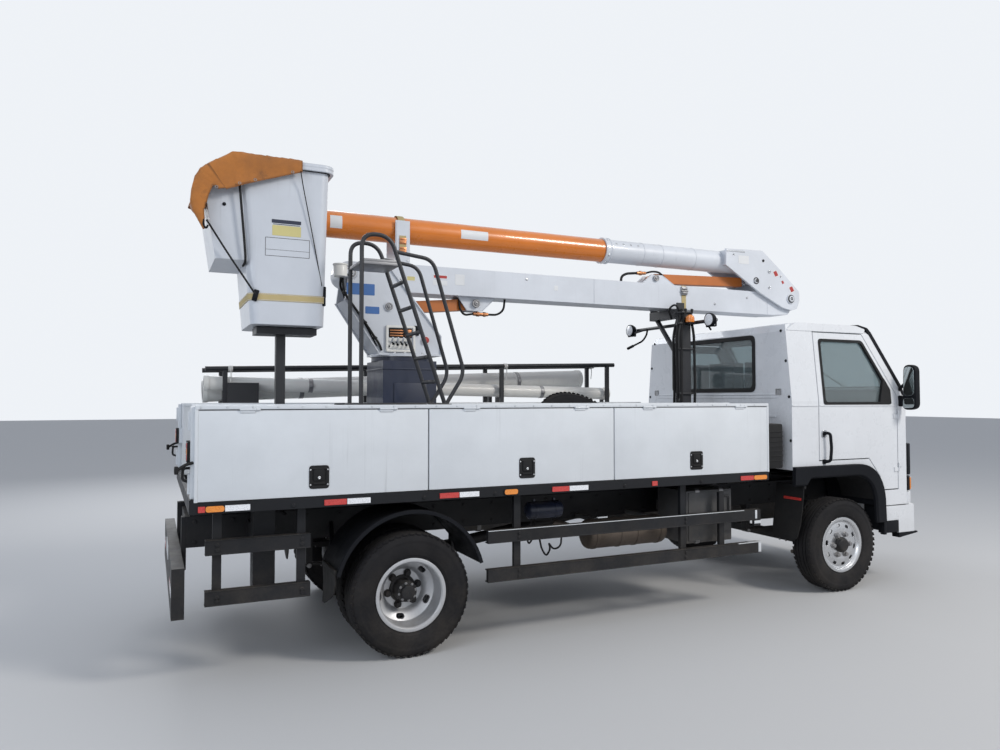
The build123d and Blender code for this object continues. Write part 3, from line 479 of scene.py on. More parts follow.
def linked(name, data):
    """A new object in the scene."""
    made = bpy.data.objects.new(name, data)
    bpy.context.scene.collection.objects.link(made)
    return made


class Shape:
    """Collects mesh forms for one piece, in millimetres from the rear axle."""

    def __init__(self):
        self.mesh = bmesh.new()

    def take(self, made, bevel=0.0, segments=2):
        """Rounds the edges of what was just made."""
        if bevel:
            edges = {e for v in made for e in v.link_edges}
            sharp = [e for e in edges if len(e.link_faces) == 2 and e.calc_face_angle() > 0.5]
            bmesh.ops.bevel(self.mesh, geom=sharp, offset=bevel / 1000, segments=segments,
                            profile=0.6, affect="EDGES", clamp_overlap=True)
        return self

    def ring(self, points):
        return [self.mesh.verts.new(at(*p)) for p in points]

    def skin(self, rings, closed=False, around=True):
        """Faces between rings of vertices, closed into a loop or capped at both ends."""
        faces, count = [], len(rings[0])
        for here, there in zip(rings, rings[1:] + rings[:1] if closed else rings[1:]):
            for i in range(count if around else count - 1):
                j = (i + 1) % count
                faces.append(self.mesh.faces.new((here[j], here[i], there[i], there[j])))
        if not closed:
            faces += [self.mesh.faces.new(rings[0]), self.mesh.faces.new(rings[-1][::-1])]
        bmesh.ops.recalc_face_normals(self.mesh, faces=faces)
        return self

    def block(self, x0, x1, y0, y1, z0, z1, bevel=2.0, turn=None):
        """A box, turned about its middle where a turn is given."""
        made = bmesh.ops.create_cube(self.mesh, size=1.0)["verts"]
        middle = at((x0 + x1) / 2, (y0 + y1) / 2, (z0 + z1) / 2)
        scale = Matrix.Diagonal((abs(x1 - x0) / 1000, abs(y1 - y0) / 1000, abs(z1 - z0) / 1000, 1))
        bmesh.ops.transform(self.mesh, verts=made,
                            matrix=Matrix.Translation(middle) @ (turn or Matrix()) @ scale)
        return self.take(made, bevel)

    def rod(self, p, q, radius, sides=16, bevel=0.0):
        """A round bar between two places."""
        a, b = at(*p), at(*q)
        made = bmesh.ops.create_cone(
            self.mesh, cap_ends=True, segments=sides, radius1=radius / 1000,
            radius2=radius / 1000, depth=(b - a).length)["verts"]
        turn = (b - a).to_track_quat("Z", "Y").to_matrix().to_4x4()
        bmesh.ops.transform(self.mesh, verts=made, matrix=Matrix.Translation((a + b) / 2) @ turn)
        return self.take(made, bevel)

    def turned(self, profile, place, axis=(0, 1, 0), segments=64):
        """A profile of (distance along the axis, radius) points turned about the axis."""
        centre, axis = at(*place), Vector(axis).normalized()
        side = axis.orthogonal().normalized()
        rings = []
        for k in range(segments):
            spoke = Matrix.Rotation(2 * pi * k / segments, 3, axis) @ side
            rings.append([self.mesh.verts.new(centre + axis * d / 1000 + spoke * r / 1000)
                          for d, r in profile])
        solid = profile[0][1] == profile[-1][1] == ON_AXIS
        return self.skin(rings, True, around=not solid)

    def pipe(self, points, radius, sides=12, closed=False):
        """A round tube that follows a smooth line through points."""
        line = [at(*p) for p in points]
        rings, last, previous = [], len(line) - 1, None
        for i, here in enumerate(line):
            if closed:
                way = line[i + 1 if i < last else 0] - line[i - 1]
            else:
                way = line[min(i + 1, last)] - line[max(i - 1, 0)]
            way.normalize()
            side = previous - way * previous.dot(way) if previous else way.orthogonal()
            previous = side = side.normalized()
            up = way.cross(side)
            rings.append([self.mesh.verts.new(
                here + (side * cos(2 * pi * k / sides) + up * sin(2 * pi * k / sides))
                * radius / 1000) for k in range(sides)])
        return self.skin(rings, closed)

    def hose(self, points, bend, radius, sides=12, steps=5):
        """A round tube through points, with its corners turned in bends."""
        return self.pipe(rounded(points, bend, steps), radius, sides)

    def slab(self, lift, loop, hole=None, bevel=0.0):
        """A plate, or a ring round a hole, between level 0 and level 1 of a lifted surface."""
        rings = [self.ring(lift(p, level) for p in edge)
                 for edge in ((loop, hole) if hole else (loop,)) for level in (0, 1)]
        self.skin([rings[0], rings[1], rings[3], rings[2]] if hole else rings, bool(hole))
        return self.take([v for ring in rings for v in ring], bevel)

    def plate(self, lift, box, radius=8.0, by=0.0, bevel=0.0):
        """A plate with the outline of a box, moved outwards, and rounded corners."""
        return self.slab(lift, box_loop(*box, by, radius), bevel=bevel)

    def frame(self, lift, box, outer, inner, bevel=0.0):
        """A ring between two outlines of a box: each is how far outwards, and its radius."""
        return self.slab(lift, box_loop(*box, *outer), box_loop(*box, *inner), bevel)

    def loft(self, rows):
        """A closed skin through sections of (x, y, z) points that have the same count."""
        return self.skin([self.ring(row) for row in rows])

    def patch(self, x0, x1, axis_z, radius, low, high, thick=1.0, steps=14):
        """A thin patch on a tube that lies along the truck, between two angles."""
        rows = []
        for k in range(steps + 1):
            a = radians(low + (high - low) * k / steps)
            rows.append([(x, -r * cos(a), axis_z + r * sin(a)) for x, r in (
                (x0, radius), (x0, radius + thick), (x1, radius + thick), (x1, radius))])
        return self.loft(rows)

    def strap(self, x0, x1, path, thick=2.2):
        """A flat strap of a width along the truck that follows (y, z) points in a closed line."""
        rows = []
        for before, here, after in zip(path[-1:] + path, path, path[1:] + path[:1]):
            here, way = Vector(here), (Vector(after) - Vector(before)).normalized()
            out = here + Vector((way.y, -way.x)) * thick
            corners = ((x0, here), (x0, out), (x1, out), (x1, here))
            rows.append(self.ring((x, *q) for x, q in corners))
        return self.skin(rows, True)

    def pin_end(self, x, y, z, side, radius):
        """The end of a pin with its collar and centre hole, proud of a plate."""
        return self.turned((
            (0, 0.5), (0, radius), (5, radius), (8, radius - 3), (8, radius * 0.72),
            (4, radius * 0.68), (4, radius * 0.45), (12, radius * 0.42), (13, radius * 0.16),
            (7, radius * 0.14), (7, 0.5)), (x, y, z), (0, side, 0), 36)

    def object(self, name):
        """The form as a plain object in the scene."""
        data = bpy.data.meshes.new(name)
        self.mesh.to_mesh(data)
        self.mesh.free()
        return linked(name, data)

    def piece(self, name, material, body="truck", slot=OWN, replaces=(), smooth=40):
        """Makes the finished object, gives it its finish and rides it on its body."""
        return dress(self.object(name), material, body, slot, replaces, smooth)


def dress(piece, material, body="truck", slot=OWN, replaces=(), smooth=40):
    """Gives a finished object its finish, smooths it and parents it to its body."""
    data = piece.data
    if material not in data.materials:
        data.materials.append(material_of(material))
    data.set_sharp_from_angle(angle=radians(smooth))
    for face in data.polygons:
        face.use_smooth = True
    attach(piece, body)
    slot = SLOTS.get(material) if slot == OWN else slot
    if replaces:
        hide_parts(*replaces)
    return piece


def rounded(points, radius, steps=5):
    """A line through points with its corners turned in arcs, each corner's own bend."""
    line = [Vector(points[0])]
    for before, here, after in zip(points, points[1:], points[2:]):
        before, here, after = Vector(before), Vector(here), Vector(after)
        reach = min(radius, (before - here).length / 2.1, (after - here).length / 2.1)
        a = here + (before - here).normalized() * reach
        b = here + (after - here).normalized() * reach
        for k in range(steps + 1):
            t = k / steps
            line.append(a * (1 - t) ** 2 + here * 2 * t * (1 - t) + b * t ** 2)
    line.append(Vector(points[-1]))
    return [tuple(p) for p in line]


def seeded(name, inputs):
    """A Geometry Nodes group that takes a mesh and gives one, with its two end nodes."""
    return new_group(name, {"Geometry": None, **inputs, "Material": None},
                     {"Geometry": "Geometry"}, "GeometryNodeTree")


def realised(tree, form, inside, outside):
    """Makes instances real, sets their material and ends the tree."""
    real = add(tree, "GeometryNodeRealizeInstances", {0: form})
    feed(tree, outside, {0: add(tree, "GeometryNodeSetMaterial", {
        "Geometry": real, "Material": inside.outputs["Material"]})})
    return tree


def stud_tree():
    """Geometry nodes that set a washer and a many-sided head on every point of a mesh."""
    tree, inside, outside = seeded("stud_rows", {"Head radius": 0.011, "Head height": 0.009,
                                                 "Sides": 6})
    join = add(tree, "GeometryNodeJoinGeometry")
    for radius_share, height_share, sides in ((1.45, 0.22, 14), (1.0, 1.0, None)):
        high = times(tree, inside.outputs["Head height"], height_share)
        disc = add(tree, "GeometryNodeMeshCylinder", {
            "Radius": times(tree, inside.outputs["Head radius"], radius_share), "Depth": high,
            "Vertices": sides or inside.outputs["Sides"]})
        lift = add(tree, "ShaderNodeCombineXYZ", {"Z": times(tree, high, 0.5)})
        feed(tree, join, {0: add(tree, "GeometryNodeTransform", {
            "Geometry": disc, "Translation": lift})})
    facing = add(tree, "GeometryNodeInputNamedAttribute", {"Name": "facing"},
                 data_type="FLOAT_VECTOR")
    turn = add(tree, "FunctionNodeAlignRotationToVector", {"Vector": facing}, axis="Z")
    spread = add(tree, "GeometryNodeInstanceOnPoints", {
        "Points": inside.outputs["Geometry"], "Instance": join, "Rotation": turn})
    return realised(tree, spread, inside, outside)


def grown(tree, seed_mesh, name, values):
    """Runs a Geometry Nodes tree on a mesh and returns the mesh that it gives."""
    seed = linked(name + "_seed", seed_mesh)
    modifier = seed.modifiers.new("grow", "NODES")
    modifier.node_group = tree
    for item in tree.interface.items_tree:
        if item.item_type == "SOCKET" and item.in_out == "INPUT" and item.name in values:
            modifier[item.identifier] = values[item.name]
    return settled(seed)


def studs(name, points, size, material, body="truck", slot=OWN):
    """Bolt heads at places, each with the way it faces. Size is radius, height and sides."""
    data = bpy.data.meshes.new(name + "_points")
    data.from_pydata([at(*p) for p, way in points], [], [])
    facing = data.attributes.new("facing", "FLOAT_VECTOR", "POINT")
    for k, (p, way) in enumerate(points):
        facing.data[k].vector = way
    radius, height, sides = (*size, 6)[:3]
    tree = bpy.data.node_groups.get("stud_rows") or stud_tree()
    heads = grown(tree, data, name, {"Head radius": radius, "Head height": height,
                                     "Sides": sides, "Material": material_of(material)})
    dress(linked(name, heads), material, body, slot, smooth=30)


SIDES = (("right", -1), ("left", 1))
# The finish of each of the frame's own pieces
OWN_PIECES = {
    "frame_paint": "chassis_frame front_axle rear_axle leaf_springs side_guards bed_floor",
    "grey_casting": "engine_block knuckle_right knuckle_left",
    "tank_grey": "underbody_tanks",
    "locker_paint": "locker_banks locker_door_right_1 locker_door_right_2 locker_door_right_3 "
                    "locker_door_left_1 locker_door_left_2 locker_door_left_3",
    "cab_paint": "cab_shell cab_door_right cab_door_left front_bumper",
    "trim_plastic": "cab_trim mirrors dashboard rear_fenders air_cleaner",
    "tinted_glass": "cab_glass door_glass_right door_glass_left",
    "seat_cloth": "seats",
    "ruby_lens": "marker_lamps",
    "white_lens": "clear_lamps",
    "tyre_rubber": "front_tyre_right front_tyre_left rear_tyres_right rear_tyres_left spare_wheel",
    "wheel_steel": "front_rim_right front_rim_left rear_rims_right rear_rims_left",
    "deck_paint": "access_ladder arm_rests tool_rack bucket_bracket stabiliser_leg_right "
                  "stabiliser_leg_left",
    "navy_paint": "pedestal",
    "arm_paint": "turret lower_boom boom_elbow",
    "cover_paint": "lower_barrel upper_barrel",
    "bright_steel": "lower_rod upper_rod",
    "boom_gelcoat": "insulated_boom",
    "bucket_gelcoat": "bucket bucket_cover",
    "tube_paint": "tool_tubes",
}


# The fitted camera: place in metres, then yaw from across the truck and pitch in degrees
CAMERA_PLACE = (-3.309, -5.687, 1.666)
CAMERA_TURN = (24.96, 1.77)


def build_stage():
    scene = bpy.context.scene
    scene.view_settings.view_transform = "Standard"
    world = bpy.data.worlds.new("studio")
    world.use_nodes = True
    tree = world.node_tree
    tree.nodes.clear()
    soft, plain = (add(tree, "ShaderNodeBackground", {"Color": tint, "Strength": power})
                   for tint, power in (((0.80, 0.87, 1.0, 1), 0.50), ((0.86, 0.89, 0.93, 1), 1.0)))
    path = add(tree, "ShaderNodeLightPath").outputs
    seen = maths(tree, "MAXIMUM", path["Is Camera Ray"], path["Is Glossy Ray"])
    seen = maths(tree, "MAXIMUM", seen, path["Is Transmission Ray"])
    add(tree, "ShaderNodeOutputWorld", {"Surface": add(
        tree, "ShaderNodeMixShader", {"Fac": seen, 1: soft, 2: plain})})
    scene.world = world

    floor_mesh = bpy.data.meshes.new("floor")
    floor_mesh.from_pydata([(-60, -60, 0), (60, -60, 0), (60, 60, 0), (-60, 60, 0)], [],
                           [(0, 1, 2, 3)])
    floor = linked("floor", floor_mesh)
    ground, tree, shader = new_material("studio_floor")
    feed(tree, shader, {"Base Color": (0.58, 0.58, 0.58, 1), "Roughness": 0.9})
    floor_mesh.materials.append(ground)
    floor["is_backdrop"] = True

    aim = (0, 0, 1.2)
    for name, place, size, power, tint in (
            ("key", (5.5, -8.5, 8.5), 3.0, 760, (1.0, 0.96, 0.90)),
            ("fill", (-9.0, -6.0, 5.0), 6.0, 250, (0.86, 0.92, 1.0)),
            ("back", (-2.0, 9.0, 7.0), 6.0, 330, (0.95, 0.97, 1.0))):
        lamp = bpy.data.lights.new(name, "AREA")
        lamp.shape, lamp.size, lamp.energy, lamp.color = "DISK", size, power, tint
        light = linked(name, lamp)
        light.location = place
        light.rotation_euler = (Vector(aim) - Vector(place)).to_track_quat("-Z", "Y").to_euler()

    lens_data = bpy.data.cameras.new("camera")
    lens_data.sensor_width, lens_data.lens = 36, 27.0
    camera = linked("camera", lens_data)
    camera.location = CAMERA_PLACE
    yaw, pitch = (radians(angle) for angle in CAMERA_TURN)
    look = Vector((sin(yaw) * cos(pitch), cos(yaw) * cos(pitch), sin(pitch)))
    camera.rotation_euler = look.to_track_quat("-Z", "Y").to_euler()
    scene.camera = camera


class TRUCK_OT_stage(bpy.types.Operator):
    """Sets the pale floor, the soft studio light and the camera"""
    bl_idname = "truck.stage"
    bl_label = "Stage"

    def execute(self, context):
        build_stage()
        return {"FINISHED"}


def build_finishes():
    for material, nodes in OWN_PIECES.items():
        for node in nodes.split():
            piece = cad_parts[node]
            piece.data.materials.clear()
            piece.data.materials.append(material_of(material))
            for face in piece.data.polygons:
                face.material_index = 0


class TRUCK_OT_finishes(bpy.types.Operator):
    """Gives the frame's own pieces their paint, rubber, glass and steel"""
    bl_idname = "truck.finishes"
    bl_label = "Finishes"

    def execute(self, context):
        build_finishes()
        return {"FINISHED"}


def carved(shape, cutters):
    """Cuts one form out of another and gives back a Shape of the rest."""
    whole, tool = shape.object("carving"), cutters.object("carving")
    modifier = whole.modifiers.new("cut", "BOOLEAN")
    modifier.object, modifier.solver = tool, "EXACT"
    rest = Shape()
    rest.mesh.from_mesh(settled(whole))
    bpy.data.objects.remove(tool)
    return rest


def lug_tree():
    """Geometry nodes that set blocks round both shoulders of a tyre."""
    tree, inside, outside = seeded("tyre_lugs", {"Lugs": 54, "Ring radius": 0.391,
        "Half width": 0.084, "Lug size": (0.028, 0.020, 0.009)})
    join = add(tree, "GeometryNodeJoinGeometry")
    for way in (-1, 1):
        ring = add(tree, "GeometryNodeMeshCircle", {"Vertices": inside.outputs["Lugs"],
            "Radius": inside.outputs["Ring radius"]})
        block = add(tree, "GeometryNodeMeshCube", {"Size": inside.outputs["Lug size"]})
        lean = add(tree, "GeometryNodeTransform", {"Geometry": block, "Rotation": (
            radians(-28 * way), 0, radians(14 * way))})
        stand = add(tree, "GeometryNodeTransform", {"Geometry": ring, "Rotation": (radians(90),
            radians(3 * way), 0)})
        side = times(tree, inside.outputs["Half width"], way)
        shift = add(tree, "ShaderNodeCombineXYZ", {"Y": side})
        turn = add(tree, "FunctionNodeAlignRotationToVector",
            {"Vector": add(tree, "GeometryNodeInputPosition")}, axis="Z", pivot_axis="Y")
        spread = add(tree, "GeometryNodeInstanceOnPoints", {"Points": stand, "Instance": lean,
            "Rotation": turn})
        feed(tree, join, {0: add(tree, "GeometryNodeTransform", {"Geometry": spread,
            "Translation": shift})})
    return realised(tree, join, inside, outside)


TYRE_HALF = (
    (79, 217), (80.5, 237), (85, 247), (91, 256), (93.5, 258), (93.5, 262), (95, 266), (99, 280),
    (101.3, 300), (101.0, 325), (98.6, 343), (99.4, 345), (99.0, 351), (96, 360), (91.5, 374),
    (86, 384), (79, 391), (75, 395.5), (73, 397), (57, 398.3), (56, 389), (48.5, 389),
    (47.5, 398.6), (25, 399), (24, 389), (16.5, 389), (15.5, 399),
)
REAR_RIM = (
    (34.5, 234), (42, 235), (44, 219), (58, 215), (112, 212), (150, 216), (188, 216), (198, 220),
    (203, 235), (209, 236), (210.5, 229), (208, 214), (198, 207), (150, 206), (112, 203),
    (84, 205), (72, 200), (62, 186), (50, 164), (40, 152), (28, 141), (16, 134), (12, 128),
    (12, 58), (3, 58), (3, 136), (24, 150), (34, 162), (46, 190), (52, 205), (36, 208),
)
FRONT_RIM = (
    (-88, 235), (-80, 235), (-77, 218), (-60, 212), (60, 212), (77, 218), (80, 235), (87.5, 236),
    (89, 228), (86, 212), (78, 204), (69, 199), (66, 190), (70, 168), (73, 140), (75, 122),
    (73, 112), (72, 58), (60, 58), (60, 118), (62, 140), (58, 180), (54, 196), (40, 205),
    (-60, 204), (-86, 208),
)


def tyre(name, centres, axis, material, body, node):
    """A tyre with ribs and grooves, and its shoulder lugs, in place of the plain tyre."""
    profile = [(-d, r) for d, r in TYRE_HALF] + [(d, r) for d, r in reversed(TYRE_HALF)]
    shape = Shape()
    for place in centres:
        shape.turned(profile, place, axis, segments=72)
    shape.piece(name, material, body, slot="tyre", replaces=(node,), smooth=35)
    lugs = Shape()
    tree = bpy.data.node_groups.get("tyre_lugs") or lug_tree()
    for place in centres:
        ring = grown(tree, bpy.data.meshes.new("ring"), "ring", {"Lugs": sizes().tread_lugs,
            "Material": material_of(material)})
        turn = Vector((0, 1, 0)).rotation_difference(Vector(axis)).to_matrix().to_4x4()
        ring.transform(Matrix.Translation(at(*place)) @ turn)
        lugs.mesh.from_mesh(ring)
    lugs.piece(name + "_lugs", material, body, slot="tyre", smooth=30)


def rim(place, side, profile, holes, hole_ring, hole_size, axis=(0, 1, 0)):
    """A rim turned from its profile, with its hand holes cut through the disc."""
    line = Vector(axis) * side
    cutters = Shape()
    across = line.orthogonal().normalized()
    for k in range(holes):
        spoke = Matrix.Rotation(2 * pi * (k + 0.5) / holes, 3, line) @ across
        tangent = line.cross(spoke)
        middle = Vector(place) + spoke * hole_ring
        cutters.skin([cutters.ring(middle + line * depth + spoke * hole_size * sin(a) + tangent
            * hole_size * (cos(a) + (0.7 if cos(a) > 0 else -0.7)) for a in [2 * pi * (j + 0.5)
            / 16 for j in range(16)]) for depth in (-60, 130)])
    return carved(Shape().turned(profile, place, line, segments=96), cutters)


def build_wheels():
    black, steel, rubber = "frame_paint", "wheel_steel", "tyre_rubber"
    for tag, side in SIDES:
        front, rear = (FRONT_AXLE, side * 930, HUB_HEIGHT), (0, side * 822.5, HUB_HEIGHT)
        twins = [(0, side * y, HUB_HEIGHT) for y in (700, 945)]
        tyre(f"front_tread_{tag}", [front], (0, 1, 0), rubber, f"front_wheel_{tag}",
            f"front_tyre_{tag}")
        tyre(f"rear_treads_{tag}", twins, (0, 1, 0), rubber, f"rear_wheels_{tag}",
            f"rear_tyres_{tag}")
        rim(front, side, FRONT_RIM, 10, 166, 13).piece(f"front_disc_{tag}", "bright_steel",
            f"front_wheel_{tag}", slot="rim_steel", replaces=(f"front_rim_{tag}",), smooth=28)
        discs = rim(rear, side, REAR_RIM, 5, 172, 17)
        inner = rim(rear, -side, REAR_RIM, 5, 172, 17).object("inner")
        discs.mesh.from_mesh(inner.data)
        bpy.data.objects.remove(inner)
        discs.piece(f"rear_discs_{tag}", steel, f"rear_wheels_{tag}", replaces=(
            f"rear_rims_{tag}",), smooth=28)
        Shape().turned(((60, 0.5), (60, 66), (84, 66), (88, 60), (104, 57), (110, 50), (112, 40),
            (112, 0.5)), front, (0, side, 0), 48).turned(((-43, 30.5), (-43, 62), (60, 62),
            (60, 30.5)), front, (0, side, 0), 32).piece(f"front_hub_{tag}", black,
            f"front_wheel_{tag}", "rim_steel")
        Shape().turned(((11, 0.5), (11, 92), (20, 90), (26, 72), (112, 68), (120, 62), (122, 46),
            (148, 44), (150, 38), (150, 0.5)), rear, (0, side, 0), 48).turned(
            ((-115, 20), (-115, 62), (10, 62), (10, 20)), rear, (0, side, 0), 32).piece(
            f"rear_hub_{tag}", black, f"rear_wheels_{tag}", "rim_steel")
        for name, ring, x, y, size, material, body in (
                ("front_nuts", circle(6, 96), FRONT_AXLE, 1002, (0.0165, 0.026), "dull_steel",
                 "front_wheel"),
                ("rear_nuts", circle(6, 105.28, 12), 0, 835.5, (0.018, 0.034), black,
                 "rear_wheels"),
                ("rear_flange_bolts", circle(8, 56, 10), 0, 943.5, (0.0065, 0.006), "dull_steel",
                 "rear_wheels")):
            places = [((x + u, side * y, HUB_HEIGHT + v), (0, side, 0)) for u, v in ring]
            studs(f"{name}_{tag}", places, size, material, f"{body}_{tag}", slot="rim_steel")
    tilt = radians(136.5)
    lean = (0, cos(tilt), sin(tilt))
    spare = (2030, 312, 1379)
    tyre("spare_tread", [spare], lean, rubber, "truck", "spare_wheel")
    rim(spare, 1, FRONT_RIM, 10, 166, 13, axis=lean).piece("spare_disc", steel, smooth=28)


class TRUCK_OT_wheels(bpy.types.Operator):
    """Builds the tyres, rims, hubs and nuts"""
    bl_idname = "truck.wheels"
    bl_label = "Wheels"

    def execute(self, context):
        build_wheels()
        return {"FINISHED"}


def soft_loop(points, by=0.0, radius=20.0, steps=4):
    """A convex outline moved outwards by a distance, with its corners turned in arcs."""
    middle = sum((Vector(p) for p in points), Vector((0, 0))) / len(points)
    count, corners = len(points), []
    lines = []
    for i in range(count):
        a, b = Vector(points[i]), Vector(points[(i + 1) % count])
        way = (b - a).normalized()
        out = Vector((way.y, -way.x))
        if out.dot(a - middle) < 0:
            out = -out
        lines.append((a + out * by, way))
    for i in range(count):
        (a, u), (b, v) = lines[i - 1], lines[i]
        turn = u.x * v.y - u.y * v.x
        corners.append(a + u * (((b - a).x * v.y - (b - a).y * v.x) / turn))
    loop = []
    for i in range(count):
        before, here, after = corners[i - 1], corners[i], corners[(i + 1) % count]
        reach = min(radius, (before - here).length / 2.1, (after - here).length / 2.1)
        a = here + (before - here).normalized() * reach
        b = here + (after - here).normalized() * reach
        for k in range(steps + 1):
            t = k / steps
            loop.append(tuple(a * (1 - t) ** 2 + here * 2 * t * (1 - t) + b * t ** 2))
    return loop


def cab_side(side, back, front):
    """Lifts (x, z) points onto the cab's side, which leans in above the belt."""
    def lift(p, level):
        lean = max(0.0, p[1] - CAB_BELT) * CAB_LEAN
        return p[0], side * (CAB_SIDE - lean + back + level * (front - back)), p[1]
    return lift


def upright_face(x0, x1):
    """Lifts (y, z) points onto a face across the truck."""
    return lambda p, level: (x0 + level * (x1 - x0), p[0], p[1])


def long_face(y0, y1):
    """Lifts (x, z) points onto a face along the truck."""
    return lambda p, level: (p[0], y0 + level * (y1 - y0), p[1])


def screen_face(back, front):
    """Lifts (y, distance up the screen) points onto the windscreen's slope."""
    def lift(p, level):
        off, (x, z), (run, rise) = back + level * (front - back), SCREEN_FOOT, SCREEN_SLOPE
        return x + run * p[1] + rise * off, p[0], z + rise * p[1] - run * off
    return lift


def box_loop(a0, a1, b0, b1, by=0.0, radius=8.0, steps=4):
    return soft_loop(((a0, b0), (a1, b0), (a1, b1), (a0, b1)), by, radius, steps)


WINDOW = ((3735, 1625), (3735, 2168), (4248, 2168), (4545, 1738), (4545, 1625))


